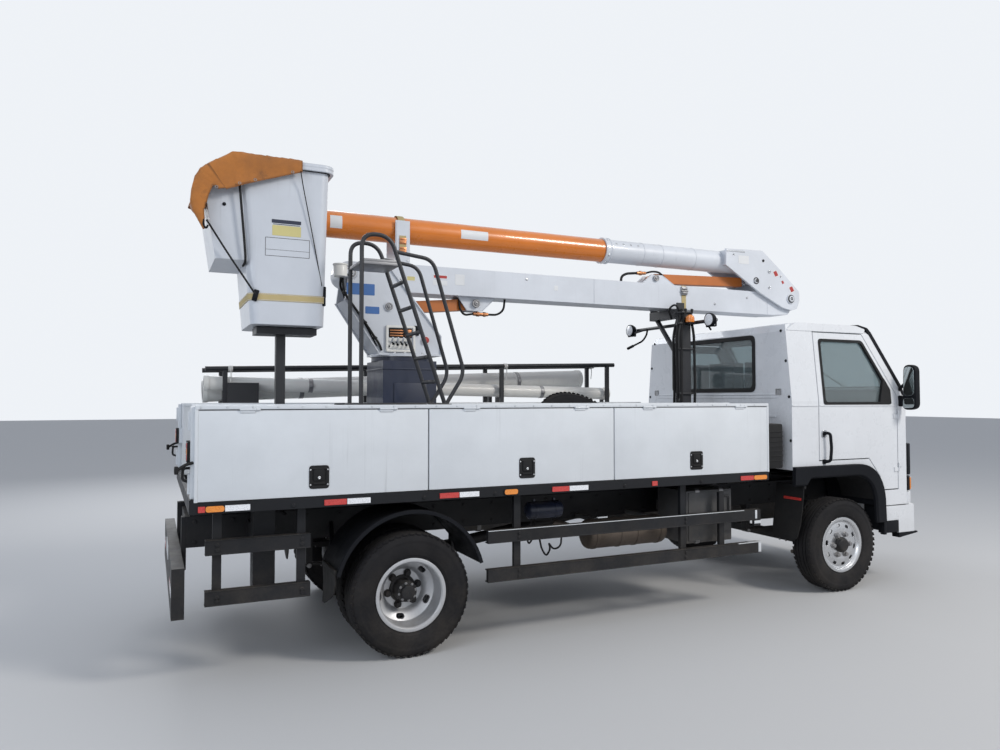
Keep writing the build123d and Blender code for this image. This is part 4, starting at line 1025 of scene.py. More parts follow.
def build_cab():
    rubber, plastic = "black_rubber", "trim_plastic"
    for tag, side in SIDES:
        door = f"cab_door_{tag}"
        seal = Shape()
        seal.slab(cab_side(side, -14, 5), soft_loop(WINDOW, 17, 34), soft_loop(WINDOW, -7, 30))
        seal.slab(cab_side(side, -14, 9), soft_loop(((4408, 1612), (4560, 1612), (4560, 1745),
            (4486, 1852)), 0, 16))
        seal.piece(f"door_seal_{tag}", rubber, door)
        handle = Shape()
        handle.hose(((3716, side * 1000, 1366), (3742, side * 1046, 1366), (3752, side * 1048,
            1240), (3742, side * 1046, 1126), (3716, side * 1000, 1118)), 26, 13, 14)
        handle.plate(cab_side(side, -1, 4), (3694, 3738, 1338, 1386), 14)
        handle.plate(cab_side(side, -1, 4), (3694, 3738, 1100, 1140), 14)
        handle.piece(f"door_handle_{tag}", plastic, door)
        Shape().slab(cab_side(side, -1, 8), box_loop(3688, 3744, 1330, 1392, 0, 18), box_loop(
            3698, 3734, 1344, 1378, 0, 12)).piece(f"door_lock_{tag}", "bright_steel", door)
        Shape().plate(cab_side(side, -1, 5), (3672, 4636, 1596, 1608), 5).piece(
            f"door_crease_{tag}", "cab_paint", door)
        crease = Shape()
        crease.plate(cab_side(side, -1, 5), (3356, 3652, 1596, 1608), 5)
        crease.slab(cab_side(side, -60, 1), soft_loop(((3352, 2246), (3470, 2318), (4225, 2318),
            (4322, 2290), (4300, 2250)), 0, 30))
        crease.piece(f"cab_crease_{tag}", "cab_paint")
        Shape().slab(cab_side(side, -58, 3), ((4170, 2322), (4238, 2326), (4350, 2303),
            (4392, 2262), (4726, 1772), (4742, 1700), (4722, 1690), (4698, 1742), (4330, 2285),
            (4226, 2314))).piece(f"screen_trim_{tag}", plastic)
        mirror, glass = Shape(), Shape()
        mirror.slab(upright_face(4656, 4720), soft_loop(((side * 1040, 1556), (side * 1180, 1566),
            (side * 1178, 1962), (side * 1056, 1974)), 0, 58, 6), bevel=16)
        glass.slab(upright_face(4651, 4659), soft_loop(((side * 1056, 1686), (side * 1166, 1690),
            (side * 1164, 1946), (side * 1070, 1954)), 0, 44, 6))
        glass.slab(upright_face(4651, 4659), soft_loop(((side * 1054, 1574), (side * 1164, 1582),
            (side * 1164, 1668), (side * 1056, 1664)), 0, 28, 6))
        mirror.hose(((4694, side * 996, 1640), (4692, side * 1030, 1628), (4690, side * 1080,
            1610)), 30, 30, 14)
        mirror.hose(((4690, side * 985, 1740), (4690, side * 1026, 1780), (4690, side * 1080,
            1820)), 40, 14, 12)
        mirror.block(4662, 4722, side * 986, side * 1016, 1590, 1690, 14)
        mirror.piece(f"mirror_{tag}", plastic, replaces=("mirrors",) if side < 0 else ())
        glass.piece(f"mirror_glass_{tag}", "mirror_silver")
        lip = Shape()
        lip.slab(long_face(side * 930, side * 1006), ((4648, 402), (4888, 432), (4888, 446),
            (4640, 446), (4640, 402)), bevel=4)
        lip.block(4446, 4480, side * 960, side * 1004, 440, 560, 6)
        lip.piece(f"bumper_lip_{tag}", plastic)
        lamp = Shape()
        lamp.frame(upright_face(4884, 4932), (side * 632, side * 858, 752, 888), (6, 26),
            (-10, 20))
        lamp.frame(upright_face(4936, 4963), (side * 600, side * 760, 500, 590), (0, 22),
            (-20, 16))
        lamp.piece(f"lamp_bezel_{tag}", plastic)
        glow = Shape()
        for y, z, r in ((692, 820, 48), (800, 820, 48), (680, 545, 34)):
            x = 4922 if z > 700 else 4952
            glow.turned(((0, 0.5), (0, r - 8), (4, r), (10, r), (13, r * 0.7), (15, 0.5)),
                (x, side * y, z), (1, 0, 0), 32)
        glow.piece(f"lamp_glass_{tag}", "white_lens")
        wiper = Shape()
        places = [screen_face(4, 0)(p, 0) for p in ((side * 250 - 160, 30), (side * 250 + 60, 250),
            (side * 250 + 250, 430))]
        wiper.pipe(places[:2], 7, 8).pipe((places[1], places[2]), 5, 8)
        wiper.slab(screen_face(2, 8), ((side * 250 + 90, 120), (side * 250 + 98, 118),
            (side * 250 + 268, 500), (side * 250 + 260, 503)))
        wiper.piece(f"wiper_{tag}", plastic)
    rim = Shape()
    rim.slab(screen_face(-16, 3), soft_loop(((-955, -4), (955, -4), (893, 655), (-893, 655)), 0,
        60), soft_loop(((-848, 47), (848, 47), (848, 622), (-848, 622)), 0, 50))
    rim.frame(upright_face(3366, 3345), (-560, 560, 1745, 2205), (26, 60), (-12, 44))
    rim.piece("window_seals", rubber)
    wall = Shape()
    for z0, z1, y0, y1 in ((1694, 1702, -840, 840), (1668, 1676, -840, 840), (1500, 1520, -820,
            -300), (1330, 1350, -820, -300), (1500, 1520, 300, 820), (1330, 1350, 300, 820)):
        wall.plate(upright_face(3352, 3345), (y0, y1, z0, z1), 4)
    for x in range(3620, 4220, 90):
        wall.block(x, x + 34, -700, 700, 2316, 2322, 3)
    wall.piece("cab_pressings", "cab_paint")
    vent = Shape()
    for y in (-855, 855):
        vent.frame(upright_face(3352, 3344), (y - 30, y + 30, 1694, 1748), (0, 6), (-5, 4))
        for k in range(5):
            vent.block(3345, 3351, y - 26, y + 26, 1702 + 9 * k, 1706 + 9 * k, 1)
    vent.piece("cab_vents", "dull_steel")
    spots = [((3350, side * y, z), (-1, 0, 0)) for side in (-1, 1) for y, z in ((886, 2244),
        (939, 1984), (970, 1678), (985, 1308))]
    studs("cab_wall_bolts", spots, (0.009, 0.006, 12), plastic)
    nose = Shape()
    nose.frame(upright_face(4912, 4922), (-600, 600, 730, 950), (8, 24), (-14, 16))
    for k in range(4):
        nose.plate(upright_face(4900, 4921), (-586, 586, 786 + 46 * k, 796 + 46 * k), 4)
    nose.plate(upright_face(4957, 4965), (-230, 230, 455, 600), 10)
    nose.piece("grille_bars", plastic)
    Shape().plate(upright_face(4963, 4968), (-200, 200, 465, 590), 8).piece("number_plate_blank",
        "decal_white")


class TRUCK_OT_cab(bpy.types.Operator):
    """Builds the cab's seals, mirrors, handles, lamps, wipers and small trim"""
    bl_idname = "truck.cab"
    bl_label = "Cab"

    def execute(self, context):
        build_cab()
        return {"FINISHED"}


# Blank labels on the arm: body, surface y, rear, front, low, high, finish
ARM_LABELS = (
    ("turret", -158, -228, -12, 2442, 2528, "blue"), ("turret", -158, -84, 25, 2303, 2358, "blue"),
    ("lower_boom", -118, 255, 320, 2582, 2615, "yellow"),
    ("lower_boom", -118, 475, 588, 2616, 2640, "red"),
    ("lower_boom", -118, 657, 738, 2571, 2658, "white"),
    ("lower_boom", -118, 470, 590, 2560, 2600, "white"),
    ("lower_boom", -118, 1562, 1600, 2582, 2624, "white"),
    ("turret", 158, -190, 10, 2440, 2526, "blue"),
    ("lower_boom", 118, 700, 1060, 2560, 2640, "yellow"),
    ("upper_boom", -158, 3560, 3690, 2960, 3040, "white"),
)
# Pins and bolts on the elbow: distance, height, radius, dark
ELBOW_PINS = ((3873, 3009, 13, True), (3949, 2907, 17, False), (3780, 2807, 33, True),
              (3946, 2749, 12, False), (4100, 2870, 10, False), (3500, 3040, 10, False))


def build_arm():
    paint, steel, black = "arm_paint", "bright_steel", "black_rubber"
    tints = {"blue": "decal_blue", "yellow": "decal_yellow", "red": "decal_red",
        "white": "decal_white"}
    for k, (body, y, x0, x1, z0, z1, tint) in enumerate(ARM_LABELS):
        side = -1 if y < 0 else 1
        Shape().plate(long_face(y - side * 0.5, y + side * 0.9), (x0, x1, z0, z1), 6).piece(
            f"arm_label_{k + 1}", tints[tint], body, slot=None)
    frames = Shape()
    for x0, x1, z0, z1 in ((475, 588, 2616, 2640), (255, 320, 2582, 2615)):
        frames.frame(long_face(-118, -119.6), (x0, x1, z0, z1), (4, 6), (-1, 5))
    frames.piece("arm_label_frames", tints["white"], "lower_boom", slot=None)

    pins, edges, welds = Shape(), Shape(), Shape()
    for side in (-1, 1):
        pins.pin_end(-195, side * 168, 2605, side, 38)
        pins.pin_end(98, side * 166, 2364, side, 30)
        edges.slab(long_face(side * 134, side * 172), ((109, 2648), (119, 2653), (523, 2151),
            (523, 2004), (515, 2004), (515, 2147)))
        edges.slab(long_face(side * 134, side * 166), ((-246, 2402), (-237, 2399), (32, 2004),
            (20, 2004)))
        welds.pipe(((22, side * 160, 2008), (250, side * 160, 2008), (512, side * 160, 2008)), 5,
            8)
        for k in range(5):
            a = radians(-60 + 30 * k)
            welds.pipe(((-195 + 52 * cos(a), side * 159, 2605 + 52 * sin(a)),
                (-195 + 52 * cos(a + 0.5), side * 159, 2605 + 52 * sin(a + 0.5))), 3, 6)
    pins.piece("turret_pins", "dull_steel", "turret")
    edges.piece("turret_edges", paint, "turret")
    welds.piece("turret_welds", paint, "turret", smooth=60)
    ring = [(247 + x, y) for x, y in circle(18, 224)]
    ring = [(x, y) for x, y in ring if abs(y) > 188 or not 20 <= x <= 516]
    studs("slew_ring_bolts", [((x, y, 2006), (0, 0, 1)) for x, y in ring], (0.011, 0.010), steel,
        "turret")

    panel, slots, knobs = Shape(), Shape(), Shape()
    panel.plate(long_face(-163.5, -166), (97, 282, 2128, 2200), 8)
    panel.block(300, 338, -172, -157, 2150, 2225, 3)
    panel.piece("control_recess", "trim_plastic", "turret")
    Shape().frame(long_face(-157, -178), (80, 300, 2025, 2215), (6, 12), (-12, 8), bevel=2).piece(
        "control_frame", "tube_paint", "turret")
    for k in range(3):
        slots.block(106, 210, -170, -165, 2139 + 20 * k, 2149 + 20 * k, 2)
    slots.block(222, 276, -174, -165, 2138, 2192, 4)
    slots.piece("control_valves", "copper", "turret")
    Shape().plate(long_face(-163.5, -165.5), (97, 282, 2042, 2124), 8).piece("control_face",
        "tube_paint", "turret")
    for k in range(5):
        x = 122 + 34 * k
        knobs.rod((x, -164, 2098), (x, -196, 2082 - 6 * (k % 2)), 4.5, 10)
        knobs.turned(((0, 0.5), (2, 8), (12, 10), (20, 7), (23, 0.5)),
            (x, -193, 2084 - 6 * (k % 2)), (0, -0.86, -0.5), 16)
    knobs.turned(((0, 0.5), (0, 9), (8, 9), (11, 6), (11, 0.5)), (99, -158, 2061), (0, -1, 0), 18)
    knobs.piece("control_levers", "trim_plastic", "turret")
    Shape().turned(((0, 0.5), (0, 16), (12, 16), (12, 27), (20, 27), (26, 22), (29, 0.5)),
        (391, -158, 2116), (0, -1, 0), 32).piece("stop_button", "decal_red", "turret")
    Shape().plate(long_face(-157.5, -159.5), (358, 424, 2080, 2150), 26).piece("stop_button_plate",
        "decal_white", "turret")
    cup = Shape()
    cup.turned(((-4, 0.5), (-4, 42), (0, 50), (84, 52), (92, 46), (94, 0.5)), (-285, -205, 2562),
        (0, 0, 1), 40)
    cup.turned(((0, 38), (0, 56), (10, 56), (10, 38)), (-285, -205, 2644), (0, 0, 1), 40)
    cup.piece("swivel_cup", "tube_paint", "turret")
    hoses = Shape()
    radius = sizes().hose_radius * 1000
    hoses.hose(((-262, -178, 2566), (-256, -180, 2486), (-236, -178, 2430), (-130, -176, 2290),
        (20, -176, 2076), (40, -172, 2026)), 60, radius, 12)
    hoses.hose(((-256, -166, 2560), (-252, -168, 2480), (-226, -166, 2424), (-110, -166, 2262),
        (4, -166, 2060)), 60, radius * 0.6, 10)
    hoses.hose(((-275, -190, 2566), (-275, -150, 2500), (-240, -90, 2470), (-205, -60, 2400)), 60,
        radius, 12)
    for x, z in ((-245, 2450), (-90, 2236), (-10, 2122)):
        hoses.block(x - 14, x + 14, -188, -156, z - 9, z + 9, 4, Matrix.Rotation(radians(35), 4,
            "Y"))
    hoses.piece("turret_hoses", black, "turret")

    pins, seams, fittings, lines = Shape(), Shape(), Shape(), Shape()
    for side in (-1, 1):
        pins.pin_end(853, side * 84, 2436, side, 34)
        pins.pin_end(2655, side * 78, 2768, side, 30)
        for x in (-50, 1960, 3960):
            seams.block(x - 2, x + 2, side * 117, side * 120, 2490, 2706, 1)
        for x0, z0, x1, z1 in ((700, 2489, 783, 2378), (915, 2378, 1032, 2489), (2500, 2707, 2610,
                2800), (2730, 2800, 2885, 2707)):
            seams.pipe(((x0, side * 66, z0), (x1, side * 66, z1)), 3, 6)
        seams.plate(long_face(side * 123, side * 126), (168, 268, 2716, 3030), 10)
    pins.piece("boom_pins", "dull_steel", "lower_boom")
    seams.piece("boom_seams", paint, "lower_boom")
    spots = [((x, side * y, z), (0, side, 0)) for side in (-1, 1) for x, y, z in ((210, 118, 2591),
        (380, 118, 2591), (1300, 118, 2660), (3300, 118, 2560), (3700, 118, 2640),
        (180, 124, 2736), (256, 124, 2736))]
    studs("boom_bolts", spots, (0.009, 0.006), steel, "lower_boom")
    fittings.rod((840, -50, 2355), (973, -50, 2355), 15, 18, 3)
    fittings.rod((868, -50, 2355), (896, -50, 2355), 20, 6, 1)
    fittings.rod((930, -50, 2355), (952, -50, 2355), 20, 6, 1)
    fittings.rod((2462, -40, 2806), (2560, -40, 2812), 15, 18, 3)
    fittings.rod((2490, -40, 2808), (2516, -40, 2809), 21, 6, 1)
    for z0, z1 in ((2786, 2836), (2858, 2908)):
        fittings.block(190, 246, -134, -126, z0, z1, 3)
        fittings.block(196, 240, -140, -130, z0 + 8, z0 + 16, 3)
        fittings.block(196, 240, -140, -130, z1 - 16, z1 - 8, 3)
    fittings.piece("boom_fittings", "copper", "lower_boom")
    lines.hose(((973, -50, 2355), (1060, -50, 2356), (1118, -50, 2400), (1127, -50, 2492)), 60,
        radius, 12)
    lines.hose(((840, -50, 2355), (760, -54, 2340), (720, -56, 2392), (716, -56, 2492)), 40,
        radius, 12)
    lines.hose(((2293, -40, 2700), (2296, -40, 2764), (2350, -40, 2794), (2462, -40, 2806)), 60,
        radius * 1.3, 12)
    lines.hose(((2560, -40, 2812), (2620, -56, 2830), (2700, -56, 2830), (2760, -50, 2790)), 50,
        radius, 12)
    lines.hose(((-120, 60, 2500), (-100, 70, 2420), (40, 80, 2380), (90, 80, 2492)), 70, radius,
        12)
    lines.piece("boom_hoses", black, "lower_boom")
    straps = Shape()
    arc = [(112 * cos(radians(a)), BOOM_AXIS + 112 * sin(radians(a))) for a in range(0, 181, 15)]
    path = [(128, 2740), (128, 2900)] + arc + [(-128, 2900), (-128, 2780), (-131, 2780),
        (-131, 2900)]
    path += [(y * 1.018, (z - BOOM_AXIS) * 1.018 + BOOM_AXIS) for y, z in reversed(arc)] + [
        (131, 2900), (131, 2740)]
    straps.strap(190, 244, path, 0.8)
    straps.piece("boom_strap", "strap_web", "lower_boom")
    ratchet = Shape()
    box = box_loop(-118, 118, 2488, 2708, 1.0, 10, 3)
    ratchet.strap(2908, 2958, list(reversed(box)), -2.0)
    ratchet.piece("ratchet_strap", "strap_web", "lower_boom")
    buckle = Shape()
    buckle.block(2900, 2966, -134, -121, 2620, 2700, 4)
    buckle.block(2906, 2960, -146, -130, 2632, 2650, 3).block(2906, 2960, -142, -130, 2672, 2688,
        3)
    buckle.rod((2896, -133, 2660), (2970, -133, 2660), 8, 14)
    buckle.piece("ratchet_buckle", "dull_steel", "lower_boom")

    joins, marks = Shape(), Shape()
    for x0, x1, low, high in ((-339, -248, -27, 29), (716, 955, -20, 22)):
        marks.patch(x0, x1, BOOM_AXIS, 101.6, low, high)
    marks.piece("boom_label_patches", tints["white"], "upper_boom", slot=None)
    for x in (2513, 2724, 3100):
        joins.turned(((-4, 102), (-3, 106), (3, 106), (4, 102)), (x, 0, BOOM_AXIS), (1, 0, 0), 56)
    for x in (2104, 2158):
        joins.turned(((-6, 108), (-5, 116), (5, 116), (6, 108)), (x, 0, BOOM_AXIS), (1, 0, 0), 56)
    joins.turned(((-5, 96), (-5, 106), (0, 108), (7, 106), (7, 96)), (-862, 0, BOOM_AXIS),
        (1, 0, 0), 56)
    joins.piece("boom_rings", paint, "upper_boom")
    ring = [((2131, 113 * y, BOOM_AXIS + 113 * z), (0, y, z)) for y, z in circle(9, 1, 10)]
    y, z = -cos(radians(32)), sin(radians(32))
    ring += [((x, 104 * y, BOOM_AXIS + 104 * z), (0, y, z)) for x in (2215, 2290, 2370, 2450)]
    studs("boom_ring_screws", ring, (0.007, 0.005), steel, "upper_boom")
    dark, pale = Shape(), Shape()
    for side in (-1, 1):
        for x, z, r, is_dark in ELBOW_PINS:
            (dark if is_dark else pale).pin_end(x, side * 158, z, side, r)
        dark.pin_end(4224, side * 168, 2654, side, 40)
        pale.slab(long_face(side * 158, side * 161), soft_loop(((3418, 3080), (3640, 3084),
            (3640, 3070), (3418, 3066)), 0, 4))
    dark.piece("elbow_pins", "grey_casting", "upper_boom", slot="grey_iron")
    pale.piece("elbow_bolts", steel, "upper_boom")
    signs, backs = Shape(), Shape()
    for side in (-1, 1):
        for x, z, r in ((4034, 2893, 30), (4125, 2814, 17), (4243, 2752, 30)):
            turn = ((x - r * 1.1, z + r * 0.5), (x - r * 0.2, z - r), (x + r * 1.1, z - r * 0.5),
                (x + r * 0.2, z + r))
            signs.slab(long_face(side * 158.8, side * 160), turn)
            if r > 20:
                backs.slab(long_face(side * 157.5, side * 159), soft_loop(turn, 9, 4))
    signs.piece("elbow_marks", "decal_red", "upper_boom")
    backs.piece("elbow_mark_plates", "decal_white", "upper_boom")
    data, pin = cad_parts["boom_elbow"].data, at(4224, 0, 2654)
    data.materials.append(material_of("muffler_steel"))
    for face in data.polygons:
        x, y, z = face.center
        if 0.1725 < y < 0.233 and x > at(4045, 0, 0).x and hypot(x - pin.x, z - pin.z) > 0.06:
            face.material_index = 1


class TRUCK_OT_arm(bpy.types.Operator):
    """Builds the arm's pins, labels, hoses, control levers, straps and seams"""
    bl_idname = "truck.arm"
    bl_label = "Arm"

    def execute(self, context):
        build_arm()
        return {"FINISHED"}


def bucket_loop(z, by=0.0, radius=55):
    """The bucket's rounded section at a height, moved outwards by a distance."""
    share = (z - BUCKET_FLOOR) / BUCKET_HEIGHT
    return box_loop(-974 - 88 * share, -512 + 19 * share, -762 - 38 * share, -172, by, radius, 6)


def bucket_band(shape, low, high, back, front):
    """A flat band round the bucket between two heights."""
    corners = ((low, back), (low, front), (high, front), (high, back))
    return shape.skin([shape.ring((x, y, z) for x, y in bucket_loop(z, by))
                       for z, by in corners], True)


def bucket_side(back, front):
    """Lifts (x, z) points onto the bucket's near wall."""
    def lift(p, level):
        wall = -762 - 38 * (p[1] - BUCKET_FLOOR) / BUCKET_HEIGHT
        return p[0], wall - back - level * (front - back), p[1]
    return lift


# The cover's line along the bucket: distance, height, near skirt's drop, far skirt's drop
CANVAS_LINE = (
    (-676, 3187, 76, 30), (-760, 3188, 104, 36), (-900, 3189, 154, 44), (-1040, 3190, 206, 58),
    (-1102, 3186, 210, 64), (-1180, 3134, 196, 66), (-1240, 3096, 180, 66),
    (-1285, 3060, 150, 60), (-1312, 3010, 112, 50), (-1330, 2930, 100, 36),
    (-1336, 2860, 90, 26), (-1322, 2800, 68, 18), (-1290, 2740, 38, 12), (-1262, 2690, 8, 8),
)


def canvas():
    """The cover is one cut sheet, creased and sagging between its ridge and its hems."""
    near, far, rows, columns = -832.0, -140.0, 72, 64
    mesh = bmesh.new()
    hem, uv = mesh.verts.layers.float.new("hem"), mesh.loops.layers.uv.new("cloth")
    line = [Vector(p) for p in CANVAS_LINE]
    reach = [0.0]
    for a, b in zip(line, line[1:]):
        reach.append(reach[-1] + (b.xy - a.xy).length)
    grid, spots = [], {}
    for i in range(rows + 1):
        t = reach[-1] * i / rows
        k = min(len(line) - 2, max(j for j in range(len(reach)) if reach[j] <= t + 1e-6))
        share = (t - reach[k]) / (reach[k + 1] - reach[k])
        share = share * share * (3 - 2 * share) * 0.5 + share * 0.5
        here = line[k].lerp(line[k + 1], share)
        x, z, near_drop, far_drop = here
        ahead = (line[k + 1].xy - line[k].xy).normalized()
        out = Vector((ahead.y, -ahead.x))
        width, row = near_drop + (far - near) + far_drop, []
        for j in range(columns + 1):
            s = width * j / columns
            edge = min(1.0, min(s, width - s) / 60)
            if s < near_drop:
                down = near_drop - s
                y, drop = near - 3 * sin(down / 26) - 0.05 * down, down
            elif s > near_drop + far - near:
                down = s - near_drop - (far - near)
                y, drop = far + 0.05 * down, down
            else:
                y, drop = near + s - near_drop, 0.0
            across = (y - near) / (far - near)
            sag = 5 if i < rows * 0.62 else 8
            curve = 0.0 if drop else -sag * sin(pi * min(1, max(0, across)))
            wave = 4.5 * noise.noise(Vector((x / 95, y / 120, z / 95)))
            wave += 2.2 * noise.noise(Vector((x / 34 + 7, y / 44, z / 34)))
            fold = 5.0 * edge * sin(t / 41 + 2.4 * noise.noise(Vector((t / 200, y / 160, 3))))
            low = 1.0 if drop else 0.35
            lift = (curve + 3 + wave * 0.6 + fold * 0.35 * low) * (0.4 + 0.6 * edge)
            hang = min(1.0, 2.5 * max(0.0, t - reach[8]) / (reach[-1] - reach[8]))
            shorten = 0.88 * hang * min(1, max(0, across))
            px, pz = x - (x + 1312) * shorten, z + (3010 - z) * shorten
            if drop:
                side = -1 if s < near_drop else 1
                place = (px - out.x * drop, y + side * (2 + lift * 0.4), pz - out.y * drop)
            else:
                place = (px + out.x * lift, y, pz + out.y * lift)
            vertex = mesh.verts.new(at(*place))
            vertex[hem] = 1.0 if min(s, width - s) < 9 or i in (0, rows) or abs(
                t - reach[6]) < 7 or abs(s - near_drop - (far - near) / 2) < 4 else 0.0
            spots[vertex] = (t / 1000, s / 1000)
            row.append(vertex)
        grid.append(row)
    for a, b in zip(grid, grid[1:]):
        for j in range(columns):
            face = mesh.faces.new((a[j], a[j + 1], b[j + 1], b[j]))
            for loop in face.loops:
                loop[uv].uv = spots[loop.vert]
    bmesh.ops.recalc_face_normals(mesh, faces=mesh.faces)
    if sum(f.normal.z for f in mesh.faces) < 0:
        bmesh.ops.reverse_faces(mesh, faces=mesh.faces)
    area = sum(f.calc_area() for f in mesh.faces)
    corners = [grid[i][1].co.copy() for i in (4, 20, 34, 44)]
    data = bpy.data.meshes.new("canvas_cover")
    mesh.to_mesh(data)
    mesh.free()
    raw = linked("canvas_cover", data)
    thick = raw.modifiers.new("thickness", "SOLIDIFY")
    thick.thickness, thick.offset = 0.0016, 1
    cloth = linked("canvas_cover", settled(raw))
    dress(cloth, "canvas_cloth", "bucket", "canvas", ("bucket_cover",), smooth=60)
    rings = Shape()
    for spot in corners:
        x, y, z = spot.x * 1000 - REAR_AXLE, spot.y * 1000, spot.z * 1000
        rings.turned(((-1, 5), (-1, 10), (3, 9), (3, 6)), (x, y - 1, z), (0, -1, 0), 18)
    rings.piece("canvas_eyelets", "dull_steel", "bucket")


def build_bucket():
    black = "black_rubber"
    Shape().pipe([(x, y, 3165) for x, y in box_loop(-1080, -475, -812, -160, 0, 68, 7)], 16, 12,
        closed=True).piece("bucket_lip", "bucket_gelcoat", "bucket")
    line = Shape()
    # A thin black cord just under the lip, laid where the lip's shadow falls: painted shade under
    # the lip
    line.pipe([(x, y, 3136) for x, y in bucket_loop(3136, 5)], 6, 8, closed=True)
    # The black liner ring inside the rim
    line.pipe([(x, y, 3182) for x, y in box_loop(-1046, -509, -784, -188, 0, 60, 7)], 7, 8,
        closed=True)
    line.piece("bucket_seal", black, "bucket")
    band = Shape()
    bucket_band(band, 2284, 2330, 0.5, 3)
    band.piece("bucket_band", "strap_web", "bucket")
    stitches = Shape()
    bucket_band(stitches, 2288, 2290, 2.6, 3.8)
    bucket_band(stitches, 2324, 2326, 2.6, 3.8)
    stitches.piece("bucket_band_seams", "tube_paint", "bucket")
    fittings = Shape()
    lean = Matrix.Rotation(radians(14), 4, "Y")
    fittings.block(-966, -934, -782, -768, 2276, 2350, 5, lean)
    fittings.block(-958, -940, -788, -778, 2290, 2320, 3, lean)
    fittings.block(-524, -503, -754, -732, 2326, 2398, 4)
    fittings.block(-528, -505, -756, -734, 2270, 2338, 5)
    fittings.turned(((0, 0.5), (0, 11), (5, 11), (7, 7), (7, 0.5)), (-1141, -770, 2872),
        (0, -1, 0), 20)
    fittings.hose(((-1262, -836, 2752), (-1264, -838, 2716), (-1248, -838, 2694),
        (-1238, -838, 2716)), 12, 6, 10)
    fittings.piece("bucket_buckles", "trim_plastic", "bucket")
    cords = Shape()
    cords.hose(((-1246, -836, 2750), (-1120, -806, 2560), (-950, -778, 2318)), 300, 6, 10)
    cords.hose(((-1060, -830, 3052), (-1052, -812, 2960), (-1022, -802, 2640), (-1012, -792, 2520),
        (-1018, -700, 2506)), 70, 8, 10)
    cords.hose(((-690, -852, 3116), (-672, -824, 3040), (-604, -796, 2730), (-534, -764, 2398)),
        120, 3.4, 8)
    cords.piece("bucket_cords", black, "bucket")
    label, strip, frame_lines = Shape(), Shape(), Shape()
    label.plate(bucket_side(-0.5, 0.8), (-853, -674, 2702, 2768), 4)
    label.piece("bucket_label", "decal_yellow", "bucket")
    strip.plate(bucket_side(-0.5, 0.9), (-857, -674, 2781, 2804), 3)
    strip.plate(bucket_side(-0.5, 0.9), (-848, -682, 2772, 2776), 1)
    strip.piece("bucket_label_strip", "navy_paint", "bucket")
    frame_lines.frame(bucket_side(-0.5, 0.7), (-895, -617, 2570, 2688), (0, 3), (-3, 2))
    frame_lines.plate(bucket_side(-0.5, 0.7), (-892, -620, 2610, 2612), 0.5)
    frame_lines.piece("bucket_label_frame", "tank_grey", "bucket", slot=None)
    spots = [((x, -154.5, z), (0, 1, 0)) for x in (-880, -800, -720, -640) for z in (2670, 3070)]
    studs("bracket_bolts", spots, (0.012, 0.010), "dull_steel", "bucket")
    Shape().pin_end(-760, 128, BOOM_AXIS, 1, 46).piece("bucket_pin", "dull_steel", "bucket")
    canvas()


class TRUCK_OT_bucket(bpy.types.Operator):
    """Builds the bucket's lip, band, cords, labels and canvas cover"""
    bl_idname = "truck.bucket"
    bl_label = "Bucket"

    def execute(self, context):
        build_bucket()
        return {"FINISHED"}


